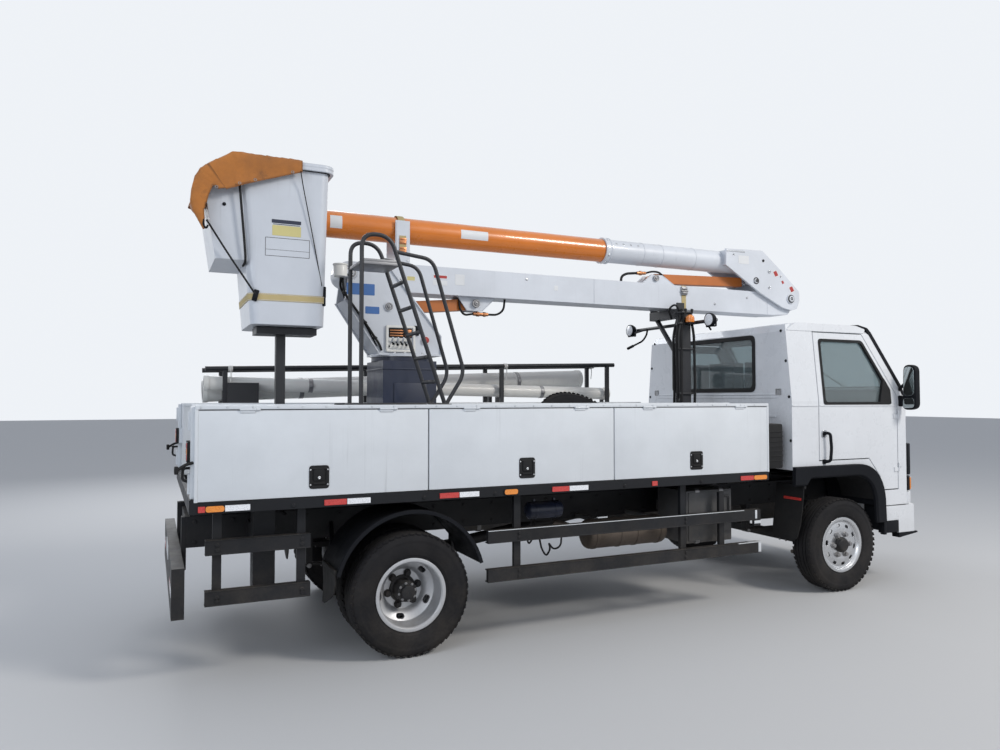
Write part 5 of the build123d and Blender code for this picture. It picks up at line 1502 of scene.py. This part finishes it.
def build_deck():
    paint, black, steel = "deck_paint", "black_rubber", "dull_steel"
    ladder = Shape()
    for y in (-1000, -700):
        ladder.hose(((-330, y, 1626), (-330, y, 2720), (-142, y, 2720), (-80, y, 2540),
            (235, y, 1632)), 112, 14, 16, 9)
        ladder.hose(((-106, y, 2618), (150, y, 2586), (378, y, 1832), (250, y, 1632)), 70, 13, 16,
            7)
        ladder.block(-430, 262, y - 17, y + 17, 1621.5, 1634, 3)
        for x in (-330, 242):
            ladder.block(x - 34, x + 34, y - 30, y + 30, 1621.5, 1629, 2)
    for share in (0.12, 0.3, 0.48, 0.66, 0.84):
        x, z = -80 + 315 * share, 2540 - 909 * share
        ladder.rod((x, -1000, z), (x, -700, z), 11, 14)
        ladder.rod((x, -940, z), (x, -760, z), 13.5, 14, 2)
    ladder.piece("ladder_hoops", paint, replaces=("access_ladder",))
    tread = Shape()
    tread.block(-340, -76, -1004, -696, 2526, 2546, 4)
    for k in range(9):
        x = -324 + 29 * k
        tread.block(x, x + 10, -990, -710, 2545, 2549, 1.5)
    tread.block(-340, -76, -1004, -998, 2546, 2562, 2).block(-340, -76, -702, -696, 2546, 2562, 2)
    tread.piece("ladder_tread", "dull_steel", slot=None)

    hoses, radius = Shape(), sizes().hose_radius * 1000
    for k, (x0, y0, x1, y1) in enumerate(((2796, -292, 2752, -300), (2776, -262, 2730, -262),
            (2868, -292, 2900, -300), (2812, -180, 2770, -170))):
        hoses.hose(((x0 + 20, y0, 2470), (x0, y0, 2400), (x1, y1, 2240), (x1 + 8, y1 - 6 * (k % 2),
            1700), (x1 - 14, y1, 1300), (x1 + 6, y1 + 8, 1066)), 160, radius * 1.35, 12, 6)
    hoses.hose(((2800, -240, 2440), (2740, -240, 2520), (2700, -190, 2470), (2770, -150, 2390)),
        60, radius, 12, 6)
    hoses.piece("mast_hoses", black)
    clips = Shape()
    for z in (1300, 1700, 2100, 2330):
        clips.block(2736, 2908, -306, -284, z, z + 14, 4)
        clips.block(2780, 2880, -292, -190, z - 2, z + 16, 3)
    clips.block(2768, 2892, -300, -180, 2430, 2448, 4)
    clips.block(2792, 2868, -120, 160, 2468, 2479, 4)
    for y in (-120, 120):
        clips.block(2790, 2870, y - 20, y + 20, 2444, 2480, 6)
    clips.piece("mast_clips", paint)
    bolts = [((x, y, 1057.5), (0, 0, 1)) for x in (2760, 2900) for y in (-320, -160)]
    bolts += [((x, y, 1066), (0, 0, 1)) for x in (0, 247, 494) for y in (-270, 270)]
    bolts += [((x, y, 1066), (0, 0, 1)) for x in (0, 494) for y in (-135, 0, 135)]
    bolts += [((x, y, 1054), (0, 0, 1)) for x in (-810, -710) for y in (-580, -480)]
    studs("deck_bolts", bolts, (0.014, 0.012), steel)
    gussets = Shape()
    for y in (-180, 0, 180):
        gussets.slab(long_face(y - 6, y + 6), ((460, 1065), (506, 1065), (460, 1230)))
        gussets.slab(long_face(y - 6, y + 6), ((34, 1065), (-12, 1065), (34, 1230)))
    gussets.turned(((-14, 222), (-14, 232), (14, 232), (14, 222)), (247, 0, 1964), (0, 0, 1), 64)
    gussets.block(30, 464, -236, 236, 1882, 1892, 2)
    gussets.block(120, 380, -238, -230, 1500, 1780, 4)
    gussets.piece("pedestal_gussets", "navy_paint", slot="pedestal_navy")

    dome, lamps, lenses = Shape(), Shape(), Shape()
    dome.turned(((0, 0.5), (0, 37), (8, 38), (40, 36), (58, 28), (68, 14), (71, 0.5)),
        (*BEACON, 2344), (0, 0, 1), 40)
    for k in range(5):
        dome.turned(((-2, 36), (-2, 39.5), (2, 39.5), (2, 36)), (*BEACON, 2352 + 8 * k),
            (0, 0, 1), 40)
    dome.piece("beacon_dome", "amber_lens")
    lamps.turned(((0, 0.5), (0, 42), (14, 42), (14, 36), (16, 0.5)), (*BEACON, 2330), (0, 0, 1),
        40)
    for y in (-590, 590):
        lamps.turned(((-28, 50), (-30, 58), (-22, 60), (0, 57), (24, 44), (32, 20), (34, 0.5),
            (28, 0.5), (22, 30), (0, 50)), (2849, y, 2345), (1, 0, 0), 40)
        lamps.block(2840, 2892, y - 9, y + 9, 2286, 2300, 3)
        lamps.block(2842, 2858, y - 62, y - 56, 2290, 2356, 2)
        lamps.block(2842, 2858, y + 56, y + 62, 2290, 2356, 2)
        lamps.block(2842, 2858, y - 62, y + 62, 2284, 2292, 2)
        lenses.turned(((0, 0.5), (0, 51), (-4, 50), (-10, 36), (-13, 0.5)), (2822, y, 2345),
            (1, 0, 0), 40)
    lamps.hose(((2890, 384, 2345), (2884, 390, 2290), (2860, 420, 2230), (2812, 560, 2176)), 60, 9,
        12, 6)
    lamps.rod((2822, 528, 2188), (2800, 596, 2162), 14, 12, 4)
    lamps.hose(((2890, -500, 2345), (2886, -510, 2300), (2870, -560, 2262)), 30, 8, 10, 4)
    lamps.piece("work_lamps", "trim_plastic")
    lenses.piece("work_lamp_glass", "white_lens")

    ends, dark, bands = Shape(), Shape(), Shape()
    for a, b, r in (((-1150, 975, 1722), (2450, 975, 1862), 88), ((-1150, 800, 1790),
            (2680, 800, 1712), 58)):
        line = (Vector(b) - Vector(a)).normalized()
        for place, way in ((a, -line), (b, line)):
            ends.turned(((-34, r), (-34, r + 5), (4, r + 5), (6, r - 4), (2, r - 8), (-2, r - 9)),
                place, way, 48)
            # A black disc fills each tube's open end: painted shade for the tube's dark inside
            dark.turned(((-0.5, 0.5), (2, 0.5), (2, r - 9), (-0.5, r - 9)), place, way, 48)
        for share in (0.22, 0.5, 0.80):
            place = Vector(a).lerp(Vector(b), share)
            bands.turned(((-18, r), (-18, r + 2.5), (18, r + 2.5), (18, r)), place, line, 48)
            x, y, z = place
            bands.block(x - 16, x + 16, y - r - 18, y - r - 2, z - 14, z + 14, 3)
    ends.piece("tube_end_rings", "tube_paint", slot="tube_white")
    dark.piece("tube_mouths", black)
    bands.piece("tube_bands", steel)
    ties = Shape()
    for x, y, z in ((-1000, 700, 1904), (1450, 700, 1967), (250, 1085, 1936), (2620, 1085, 1998)):
        for k in range(4):
            ties.turned(((-4, 20), (-4, 26), (4, 26), (4, 20)), (x + 26 + 9 * k, y, z),
                (1, 0, 0.03), 20)
        ties.hose(((x + 40, y - 24, z), (x + 44, y - 26, z - 60), (x + 36, y - 24, z - 130)), 30,
            4, 8, 4)
    ties.piece("rack_ties", "tube_paint")


class TRUCK_OT_deck(bpy.types.Operator):
    """Builds the ladder, mast hoses, beacon, work lamps, tube clamps and deck fixings"""
    bl_idname = "truck.deck"
    bl_label = "Deck"

    def execute(self, context):
        build_deck()
        return {"FINISHED"}


# Locker doors: latch distance, latch height, rear edge, front edge
LATCHES = ((-610, 1190, -1306, 90), (800, 1190, 90, 1510), (2255, 1190, 1510, 2985))
# Reflector lights over the strips: rear, front, lens
REFLECTORS = (
    (-1290, -1250, "red"), (-1250, -1147, "amber"), (-1145, -1006, "white"),
    (-579, -441, "red"), (-439, -292, "white"), (164, 300, "red"), (302, 443, "white"),
    (628, 728, "amber"), (994, 1130, "red"), (1132, 1286, "white"), (1838, 1886, "red"),
    (2690, 2822, "red"), (2824, 2960, "amber"),
)


def build_body():
    black = "black_rubber"
    tints = {"red": "ruby_lens", "amber": "amber_lens", "white": "white_lens"}
    for tag, side in SIDES:
        face = side * BODY_SIDE
        for number, (x, z, rear, front) in enumerate(LATCHES, 1):
            latch, bright, door = Shape(), Shape(), f"locker_door_{tag}_{number}"
            leaf = Shape()
            leaf.block(rear + 4, front - 4, face - side * 22, face, 1075, 1595, 5)
            for share in (0.2, 0.8):
                hinge = rear + 4 + (front - rear - 8) * share
                leaf.rod((hinge - 45, side * 1107, 1600), (hinge + 45, side * 1107, 1600), 6, 16)
                leaf.block(hinge - 42, hinge + 42, side * 1097, side * 1105, 1580, 1604, 2)
            leaf.piece(f"locker_leaf_{tag}_{number}", "locker_paint", door, replaces=(door,))
            latch.slab(long_face(face - side * 1, face + side * 4), box_loop(x - 60, x + 60,
                z - 70, z + 70, 0, 20), box_loop(x - 42, x + 42, z - 52, z + 50, 0, 10), bevel=1)
            latch.plate(long_face(face - side * 3, face + side * 0.6), (x - 44, x + 44, z - 54,
                z + 52), 8)
            latch.plate(long_face(face, face + side * 7), (x - 33, x + 33, z - 22, z + 46), 10,
                bevel=2)
            latch.block(x - 36, x + 36, face, face + side * 9, z - 44, z - 34, 3)
            latch.rod((x - 46, face + side * 2, z + 50), (x + 46, face + side * 2, z + 50), 5, 10)
            latch.piece(f"latch_{tag}_{number}", black, door)
            bright.turned(((0, 0.5), (0, 9), (4, 9), (5, 7), (5, 3), (3, 0.5)),
                (x, face + side * 6, z - 4), (0, side, 0), 20)
            for dx, dz in ((-52, 44), (52, 44), (52, -46), (-52, -46)):
                bright.turned(((0, 0.5), (0, 6), (2, 5), (3, 0.5)), (x + dx, face + side * 3,
                    z + dz), (0, side, 0), 12)
            bright.piece(f"latch_lock_{tag}_{number}", "bright_steel", door)
        lights = {tint: Shape() for tint in tints}
        for rear, front, tint in REFLECTORS:
            lights[tint].plate(long_face(side * 1099, side * (1109 if tint == "amber" else 1107)),
                (rear + 1, front - 1, 1017, 1051), 15 if tint == "amber" else 3)
        for low, high, tint in ((1309, 1342, "red"), (1344, 1376, "amber"), (1378, 1411, "red")):
            lights[tint].plate(upright_face(-1328, -1352), (side * 969, side * 1061, low, high), 7,
                bevel=2)
        lights["red"].plate(upright_face(-1419, -1422), (side * 620, side * 780, 520, 570), 3)
        lights["white"].plate(upright_face(-1419, -1422), (side * 782, side * 960, 520, 570), 3)
        for tint, shape in lights.items():
            if side < 0 and tint == "amber":
                shape.rod((*BEACON, 2339), (*BEACON, 2400), 34, 28)
            shape.piece(f"lights_{tint}_{tag}", tints[tint], replaces=("marker_lamps",) if side < 0
                and tint == "red" else ())
        holders = Shape()
        holders.slab(upright_face(-1327, -1349), box_loop(side * 958, side * 1072, 1298, 1422, 0,
            12), box_loop(side * 966, side * 1064, 1306, 1414, 0, 8))
        for rear, front, tint in REFLECTORS:
            if tint == "amber":
                holders.frame(long_face(face, side * 1107), (rear, front, 1016, 1052), (3, 17),
                    (-2, 14))
        holders.hose(((-1318, side * 1085, 1300), (-1360, side * 1100, 1290), (-1400, side * 1112,
            1262)), 20, 9, 10, 4)
        holders.block(-1416, -1394, side * 1090, side * 1134, 1240, 1284, 6)
        holders.piece(f"lamp_holders_{tag}", black)
        trims = Shape()
        trims.block(-1310, 2989, side * 1088, side * 1104, 1601, 1625, 3)
        trims.block(-1312, -1292, side * 1050, side * 1103, 1073, 1606, 3)
        trims.block(2972, 2990, side * 1050, side * 1103, 1073, 1606, 3)
        trims.block(-1310, 2989, side * 636, side * 652, 1601, 1628, 3)
        for x in (90, 1510):
            trims.block(x - 12, x + 12, side * 655, side * 1100, 1620, 1625, 2)
        trims.piece(f"locker_trims_{tag}", "locker_paint")
        spots = [((x, side * 1104, 1613), (0, side, 0)) for x in range(-1280, 2980, 142)]
        spots += [((x, side * y, 1625.5), (0, 0, 1)) for x in (90, 1510) for y in (680, 780, 880,
            980, 1070)]
        spots += [((-1312, side * 1090, z), (-1, 0, 0)) for z in range(1100, 1600, 120)]
        studs(f"locker_rivets_{tag}", spots, (0.0042, 0.0026, 10), "locker_paint")
    gate = Shape()
    for y in (-1055, 1055):
        gate.block(-1332, -1306, y - 30, y + 30, 1092, 1618, 5)
        gate.block(-1345, -1328, y - 14, y + 14, 1120, 1240, 4)
        gate.block(-1345, -1328, y - 14, y + 14, 1480, 1590, 4)
    gate.piece("rear_posts", "locker_paint")
    grips = Shape()
    for y in (-1055, 1055):
        grips.hose(((-1330, y, 1268), (-1368, y, 1268), (-1372, y, 1200), (-1330, y, 1190)), 20, 8,
            10, 4)
        grips.rod((-1368, y - 40, 1268), (-1368, y + 40, 1268), 11, 12, 3)
    grips.piece("rear_grips", black)
    Shape().plate(upright_face(-1419, -1423), (-200, 200, 590, 680), 8).piece("rear_plate_blank",
        "decal_white")


class TRUCK_OT_body(bpy.types.Operator):
    """Builds the latches, reflectors, tail lamps, drip rails, rivets and rear fittings"""
    bl_idname = "truck.body"
    bl_label = "Body"

    def execute(self, context):
        build_body()
        return {"FINISHED"}


def build_chassis():
    paint, steel, black = "frame_paint", "dull_steel", "black_rubber"
    exhaust = Shape()
    exhaust.turned(((0, 0.5), (0, 88), (10, 104), (26, 112), (684, 112), (700, 104), (710, 88),
        (710, 0.5)), (1500, -700, 620), (1, 0, 0), 48)
    for x in (1560, 1780, 1930, 2150):
        exhaust.turned(((-12, 110), (-12, 116), (12, 116), (12, 110)), (x, -700, 620), (1, 0, 0),
            48)
    exhaust.hose(((1510, -700, 640), (1430, -690, 650), (1390, -600, 680), (1300, -560, 700)), 60,
        30, 18, 6)
    exhaust.hose(((2200, -700, 620), (2250, -640, 630), (2262, -520, 640), (2420, -470, 660)), 60,
        32, 18, 6)
    exhaust.piece("muffler", "muffler_steel")
    tanks = Shape()
    tanks.block(1000, 1900, 560, 900, 470, 930, 22)
    tanks.block(2290, 2750, -930, -560, 520, 934, 12)
    for x, y in ((1150, 560), (1750, 560), (2400, -560), (2640, -560)):
        side = 1 if y > 0 else -1
        tanks.block(x - 20, x + 20, side * 385, side * 566, 720, 800, 3)
    for x in (1600, 2080):
        tanks.block(x - 20, x + 20, -704, -385, 706, 740, 3)
    tanks.piece("fuel_tank", "tank_grey", replaces=("underbody_tanks",))
    air = Shape()
    air.turned(((0, 0.5), (0, 40), (14, 58), (20, 62), (270, 62), (276, 58), (290, 40),
        (290, 0.5)), (968, -760, 842), (1, 0, 0), 36)
    for x in (1030, 1196):
        air.turned(((-8, 60), (-8, 65), (8, 65), (8, 60)), (x, -760, 842), (1, 0, 0), 36)
        air.block(x - 8, x + 8, -768, -752, 898, 926, 2)
    air.piece("air_reservoir", "navy_paint", slot="chassis_paint")
    straps = Shape()
    for x in (2400, 2640):
        loop = box_loop(-930, -560, 520, 940, 3, 22)
        straps.strap(x - 20, x + 20, list(reversed(loop)), -2.5)
    for x in (1160, 1740):
        loop = box_loop(560, 900, 470, 930, 3, 22)
        straps.strap(x - 20, x + 20, list(reversed(loop)), -2.5)
    straps.piece("tank_straps", steel, slot="chassis_paint")
    caps = Shape()
    caps.turned(((0, 0.5), (0, 46), (18, 46), (26, 42), (28, 12), (34, 10), (36, 0.5)),
        (1860, 760, 929), (0, 0, 1), 32)
    caps.turned(((0, 0.5), (0, 26), (14, 26), (16, 0.5)), (2440, -700, 933), (0, 0, 1), 24)
    caps.piece("tank_caps", "trim_plastic")
    box = Shape()
    box.plate(long_face(-929, -936), (2310, 2730, 540, 920), 14, bevel=2)
    box.plate(long_face(-935, -938), (2580, 2720, 556, 590), 4)
    box.hose(((2650, -936, 880), (2710, -948, 880), (2710, -948, 760), (2710, -936, 740)), 16, 7,
        10, 4)
    box.piece("battery_lid", "tank_grey")

    bolts = []
    for side in (-1, 1):
        outer = side * 420
        for x in range(-1270, 4600, 235):
            bolts += [((x, outer, z), (0, side, 0)) for z in (735, 865)]
        for x in (-1180, -700, 760, 2180):
            for z in (500, 520) if x < 0 else (450, 490):
                bolts.append(((x, side * 1062, z), (0, side, 0)))
            for z in (790, 820) if x < 0 else (715, 745):
                bolts.append(((x, side * 1062, z), (0, side, 0)))
        bolts += [((x, side * BODY_SIDE, 1028), (0, side, 0)) for x in (-760, 60, 560, 1600, 2300)]
    studs("frame_bolts", bolts, (sizes().bolt_head, sizes().bolt_height), paint)
    edges, posts = Shape(), Shape()
    for side in (-1, 1):
        for rear, front, low, high in ((527, 2930, 690, 770), (527, 2930, 430, 510),
                (-1246, -650, 765, 845), (-1246, -650, 475, 555)):
            posts.block(rear, front, side * 1008, side * 1064, high - 4, high + 3, 2)
            posts.block(rear, front, side * 1008, side * 1064, low - 3, low + 4, 2)
        for y0, y1, z0, z1 in ((1061, 1066, 432, 508), (1020, 1064, 508, 514)):
            edges.block(2820 if z1 > 510 else 2904, 2932, side * y0, side * y1, z0, z1, 1.5)
        edges.block(2700, 2932, side * 1050, side * 1064.5, 509, 514.5, 1.5)
        edges.block(2864, 2928, side * 1061, side * 1066, 660, 684, 2)
        edges.block(2872, 2892, side * 1061, side * 1066, 700, 768, 2)
        edges.block(527, 2760, side * 1058, side * 1065, 769, 774, 1.5)
        posts.block(2535, 2585, side * 1000, side * 1030, 432, 925, 3)
        posts.block(2860, 2932, side * 1040, side * 1062, 640, 700, 3)
    posts.piece("guard_flanges", paint)
    for tag, side in SIDES:
        fender, flap, rows = Shape(), Shape(), []
        for k in range(27):
            a = radians(14.8 + 150.4 * k / 26)
            rows.append([(r * cos(a), side * y, 440 + r * sin(a)) for r, y in ((489, 600),
                (505, 600), (506, 1046), (510, 1058), (506, 1064), (484, 1064), (484, 1058),
                (489, 1052))])
        fender.loft(rows)
        fender.block(-20, 20, side * 700, side * 740, 938, 942, 1)
        for x in (-430, 430):
            fender.rod((x, side * 640, 690), (x * 0.9, side * 425, 800), 15, 12, 3)
        fender.piece(f"rear_fender_{tag}", "trim_plastic", replaces=("rear_fenders",) if side < 0
            else ())
        flap.loft([[(x, side * a, z), (x, side * b, z), (x + 8, side * b, z), (x + 8, side * a, z)]
            for x, z, a, b in ((-500, 600, 690, 1042), (-497, 520, 690, 1040),
            (-496, 455, 690, 1004), (-498, 400, 692, 906), (-502, 356, 698, 800),
            (-504, 338, 706, 752))])
        flap.block(-504, -484, side * 690, side * 1044, 574, 604, 3)
        flap.piece(f"rear_flap_{tag}", black)
    edges.piece("guard_edges", "locker_paint")
    clamps, dampers = Shape(), Shape()
    for axle, lowest, seat in ((0, 470, 457), (FRONT_AXLE, 420, 410)):
        for side in (-1, 1):
            for dx in (-44, 44):
                for y in (side * 346, side * 424):
                    clamps.rod((axle + dx, y, seat - 76), (axle + dx, y, lowest + 66), 8, 12)
                    clamps.rod((axle + dx, y, lowest + 58), (axle + dx, y, lowest + 72), 14, 6)
            clamps.block(axle - 62, axle + 62, side * 336, side * 434, lowest + 56.5, lowest + 64,
                3)
            for end in (-1, 1):
                half = 560 if axle == 0 else 520
                x = axle + end * (half - 25)
                clamps.rod((x, side * 340, lowest + 44), (x, side * 430, lowest + 44), 16, 18, 3)
            top = (axle + 330, side * 345, 760)
            low = (axle + 70, side * 330, seat - 40)
            dampers.rod(low, Vector(low).lerp(Vector(top), 0.52), 26, 20, 4)
            dampers.rod(Vector(low).lerp(Vector(top), 0.46), top, 33, 20, 4)
            dampers.rod((top[0], side * 330, 760), (top[0], side * 352, 760), 18, 18, 3)
    clamps.piece("spring_clamps", steel, slot="chassis_paint")
    dampers.piece("dampers", "trim_plastic", slot="chassis_paint")
    pots = Shape()
    for side in (-1, 1):
        pots.turned(((0, 0.5), (0, 60), (34, 78), (40, 84), (46, 84), (52, 78), (110, 74),
            (128, 52), (132, 0.5)), (-92, side * 500, 470), (-1, 0, 0), 36)
        pots.rod((-92, side * 500, 470), (-40, side * 500, 440), 12, 14, 2)
        pots.block(-60, 30, side * 460, side * 540, 400, 450, 6)
    pots.piece("brake_chambers", "grey_casting")
    lines = Shape()
    for k, (y, z) in enumerate(((-338, 780), (-334, 812), (336, 790))):
        lines.hose(((-1200, y, z), (-400, y, z + 6), (700, y, z - 4), (1900, y, z + 4),
            (3200, y, z), (4400, y, z - 6)), 200, 9 - 1.5 * k, 8, 5)
    for side in (-1, 1):
        lines.hose(((-212, side * 500, 470), (-260, side * 500, 560), (-300, side * 430, 680),
            (-300, side * 344, 780)), 70, 8, 10, 6)
        lines.hose(((-900, side * 700, 880), (-860, side * 620, 940), (-760, side * 520, 930),
            (-700, side * 430, 880)), 60, 9, 10, 6)
    lines.hose(((1050, -780, 700), (1074, -796, 560), (1112, -800, 502), (1146, -800, 560),
        (1128, -800, 606), (1170, -800, 548), (1236, -794, 566), (1262, -770, 700)), 40, 7, 10, 6)
    lines.hose(((1020, -740, 760), (1000, -700, 640), (1050, -640, 560), (1120, -600, 640),
        (1140, -560, 760)), 60, 7, 10, 6)
    lines.piece("brake_lines", black)
    shaft = Shape()
    for x, z in ((168, 414), (2080, 698)):
        shaft.turned(((-30, 30), (-30, 66), (-14, 70), (14, 70), (30, 66), (30, 30)), (x, 0, z),
            (1950, 0, 286), 32)
    shaft.turned(((-165, 0.5), (-150, 90), (-120, 132), (-100, 146), (-92, 152), (-80, 152),
        (-80, 0.5)), (0, 0, HUB_HEIGHT), (1, 0, 0), 48)
    shaft.piece("axle_flanges", "grey_casting")
    spots = [((-93, y, HUB_HEIGHT + z), (-1, 0, 0)) for y, z in circle(10, 140)]
    studs("axle_cover_bolts", spots, (0.009, 0.007), steel)


class TRUCK_OT_chassis(bpy.types.Operator):
    """Builds the frame's bolts, spring clamps, exhaust, air lines, tank straps and dampers"""
    bl_idname = "truck.chassis"
    bl_label = "Chassis"

    def execute(self, context):
        build_chassis()
        return {"FINISHED"}


def arch(centre, radii, angle):
    """A point (x, z) on the squarish curve of a wheel arch, from its top to its front."""
    a = radians(angle)
    return (centre[0] + radii[0] * abs(sin(a)) ** 0.83, centre[1] + radii[1] * abs(cos(a)) ** 0.83)


def build_front():
    plastic, rubber = "trim_plastic", "black_rubber"
    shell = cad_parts["cab_shell"].data
    shell.materials.append(material_of(plastic))
    for face in shell.polygons:
        x, y, z = face.center.x * 1000 - REAR_AXLE, face.center.y * 1000, face.center.z * 1000
        if z < 1066 and abs(y) < 994 and face.normal.x < 0.5:
            face.material_index = 1
    angles = [0.5 + 7.4 * k for k in range(13)]
    for tag, side in SIDES:
        flare, liner = Shape(), Shape()
        pairs = [((3352, 1088), (3352, 925)), ((3490, 1088), (3490, 925)),
            ((3530, 1088), (3530, 978)), ((3560, 1088), (3560, 985)), ((3900, 1088), (3900, 985))]
        pairs += [(arch((4090, 690), (356, 398), a), arch((4060, 690), (270, 295), a))
                  for a in angles]
        pairs.append(((4452, 560), (4338, 560)))
        rows = []
        for outer, inner in pairs:
            o, i = Vector(outer), Vector(inner)
            way = (i - o).normalized()
            rim_out, rim_in = o + way * 8, i - way * 14
            rows.append([(p.x, side * y, p.y) for p, y in (
                (o, 994), (o, 1026), (rim_out, 1035), (rim_in, 1030), (i, 1014), (i, 994))])
        flare.loft(rows)
        path = [(3400, 998), (3700, 1000), (4000, 1000)]
        path += [arch((4050, 700), (290, 300), a) for a in angles[:12]]
        liner.loft([[(x, side * 640, z), (x, side * 998, z), (x + 4, side * 998, z + 6),
            (x + 4, side * 640, z + 6)] for x, z in path])
        for x in (4480, 4600):
            liner.block(x - 14, x + 14, side * 880, side * 962, 560, 690, 4)
        flare.block(4450, 4640, side * 790, side * 962, 470, 690, 8)
        flare.slab(long_face(side * 940, side * 1002), ((4446, 452), (4642, 452), (4642, 556),
            (4452, 556)), bevel=6)
        flare.piece(f"arch_flare_{tag}", plastic, replaces=("cab_trim",) if side < 0 else ())
        liner.piece(f"arch_liner_{tag}", rubber)
        Shape().slab(long_face(side * 955, side * 1001), ((4456, 560), (4646, 560), (4646, 692),
            (4450, 692)), bevel=6).piece(f"bumper_side_{tag}", "cab_paint")
        flap, stripe = Shape(), Shape()
        flap.loft([[(x, side * a, z), (x, side * b, z), (x + 6, side * b, z), (x + 6, side * a, z)]
            for x, z, a, b in ((3470, 924, 700, 1006), (3450, 760, 700, 1008),
            (3424, 600, 702, 1006), (3402, 500, 712, 992), (3395, 462, 740, 960))])
        flap.block(3470, 3492, side * 700, side * 1010, 900, 930, 3)
        flap.piece(f"front_flap_{tag}", rubber)
        stripe.plate(upright_face(3456, 3450), (side * 800, side * 990, 800, 822), 4)
        stripe.piece(f"flap_reflector_{tag}", "ruby_lens")
        corner = [(4776, 996), (4806, 988), (4842, 962), (4872, 926), (4884, 890)]
        for name, low, high, out, material in (("corner_strip", 960, 1252, 8, "trim_plastic"),
                ("corner_cap", 702, 812, 8, "cab_paint"), ("corner_bezel", 816, 952, 4,
                "trim_plastic"), ("corner_lamp", 826, 942, 15, "amber_lens")):
            fairing, rows = Shape(), []
            for k, (x, y) in enumerate(corner):
                swell = sin(pi * (0.12 + 0.76 * k / 4)) * out
                x1, y1 = x + swell * 0.75, y + swell * 0.66
                x0, y0 = x - 58 + 6 * k, y - 34 - 4 * k
                rows.append([(x0, side * y0, low), (x1, side * y1, low + 4),
                    (x1 + 2, side * (y1 + 2), low + 14), (x1 + 2, side * (y1 + 2), high - 14),
                    (x1, side * y1, high - 4), (x0, side * y0, high)])
            fairing.loft(rows[1:-1] if name == "corner_lamp" else rows)
            fairing.piece(f"{name}_{tag}", material)
    grille = Shape()
    grille.block(4890, 4901, -600, 600, 730, 950)
    for z in (732, 782, 828, 874, 920):
        grille.block(4900, 4912, -596, 596, z, z + 12, 3)
    grille.piece("grille_back", plastic)
    intake = Shape()
    intake.slab(lambda p, level: (p[0], p[1], 1080 + 370 * level), box_loop(3040, 3290, -978, -640,
        0, 55, 6), bevel=16)
    for z in range(1140, 1420, 40):
        intake.slab(lambda p, level, z=z: (p[0], p[1], z + 8 * level), box_loop(3040, 3290, -978,
            -640, 3, 55, 6))
    intake.block(3080, 3170, -700, -355, 1050, 1082, 3)
    intake.block(3080, 3170, -415, -355, 900, 1052, 3)
    intake.piece("air_intake", rubber, replaces=("air_cleaner",))


class TRUCK_OT_front(bpy.types.Operator):
    """Builds the wheel arches, front flaps, corner lamps, side steps and air intake"""
    bl_idname = "truck.front"
    bl_label = "Front"

    def execute(self, context):
        build_front()
        return {"FINISHED"}


PIECE_OPERATORS = (TRUCK_OT_stage, TRUCK_OT_finishes, TRUCK_OT_wheels, TRUCK_OT_cab,
                   TRUCK_OT_arm, TRUCK_OT_bucket, TRUCK_OT_deck, TRUCK_OT_body,
                   TRUCK_OT_chassis, TRUCK_OT_front)


class TRUCK_PT_sidebar(bpy.types.Panel):
    """Lists the truck's pieces in the sidebar"""
    bl_idname = "TRUCK_PT_sidebar"
    bl_label = "Cherry picker truck"
    bl_space_type = "VIEW_3D"
    bl_region_type = "UI"
    bl_category = "Truck"

    def draw(self, context):
        for operator in PIECE_OPERATORS:
            self.layout.operator(operator.bl_idname)
        for group in (context.scene.truck_sizes, context.scene.truck_colours):
            for key in group.bl_rna.properties.keys():
                if key not in ("rna_type", "name"):
                    self.layout.prop(group, key)


CLASSES = (TruckSizes, TruckColours, *PIECE_OPERATORS, TRUCK_PT_sidebar)


def register():
    for cls in CLASSES:
        bpy.utils.register_class(cls)
    bpy.types.Scene.truck_sizes = bpy.props.PointerProperty(type=TruckSizes)
    bpy.types.Scene.truck_colours = bpy.props.PointerProperty(type=TruckColours)


def unregister():
    del bpy.types.Scene.truck_colours
    del bpy.types.Scene.truck_sizes
    for cls in reversed(CLASSES):
        bpy.utils.unregister_class(cls)


def plain(box):
    return [[round(float(c), 5) for c in corner] for corner in box]


def main():
    register()
    for operator in PIECE_OPERATORS:
        group, name = operator.bl_idname.split(".")
        getattr(getattr(bpy.ops, group), name)()
    bpy.context.view_layer.update()
    {"cad": plain(cad_box), "visual": plain(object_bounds())}


if __name__ == "__main__":
    main()
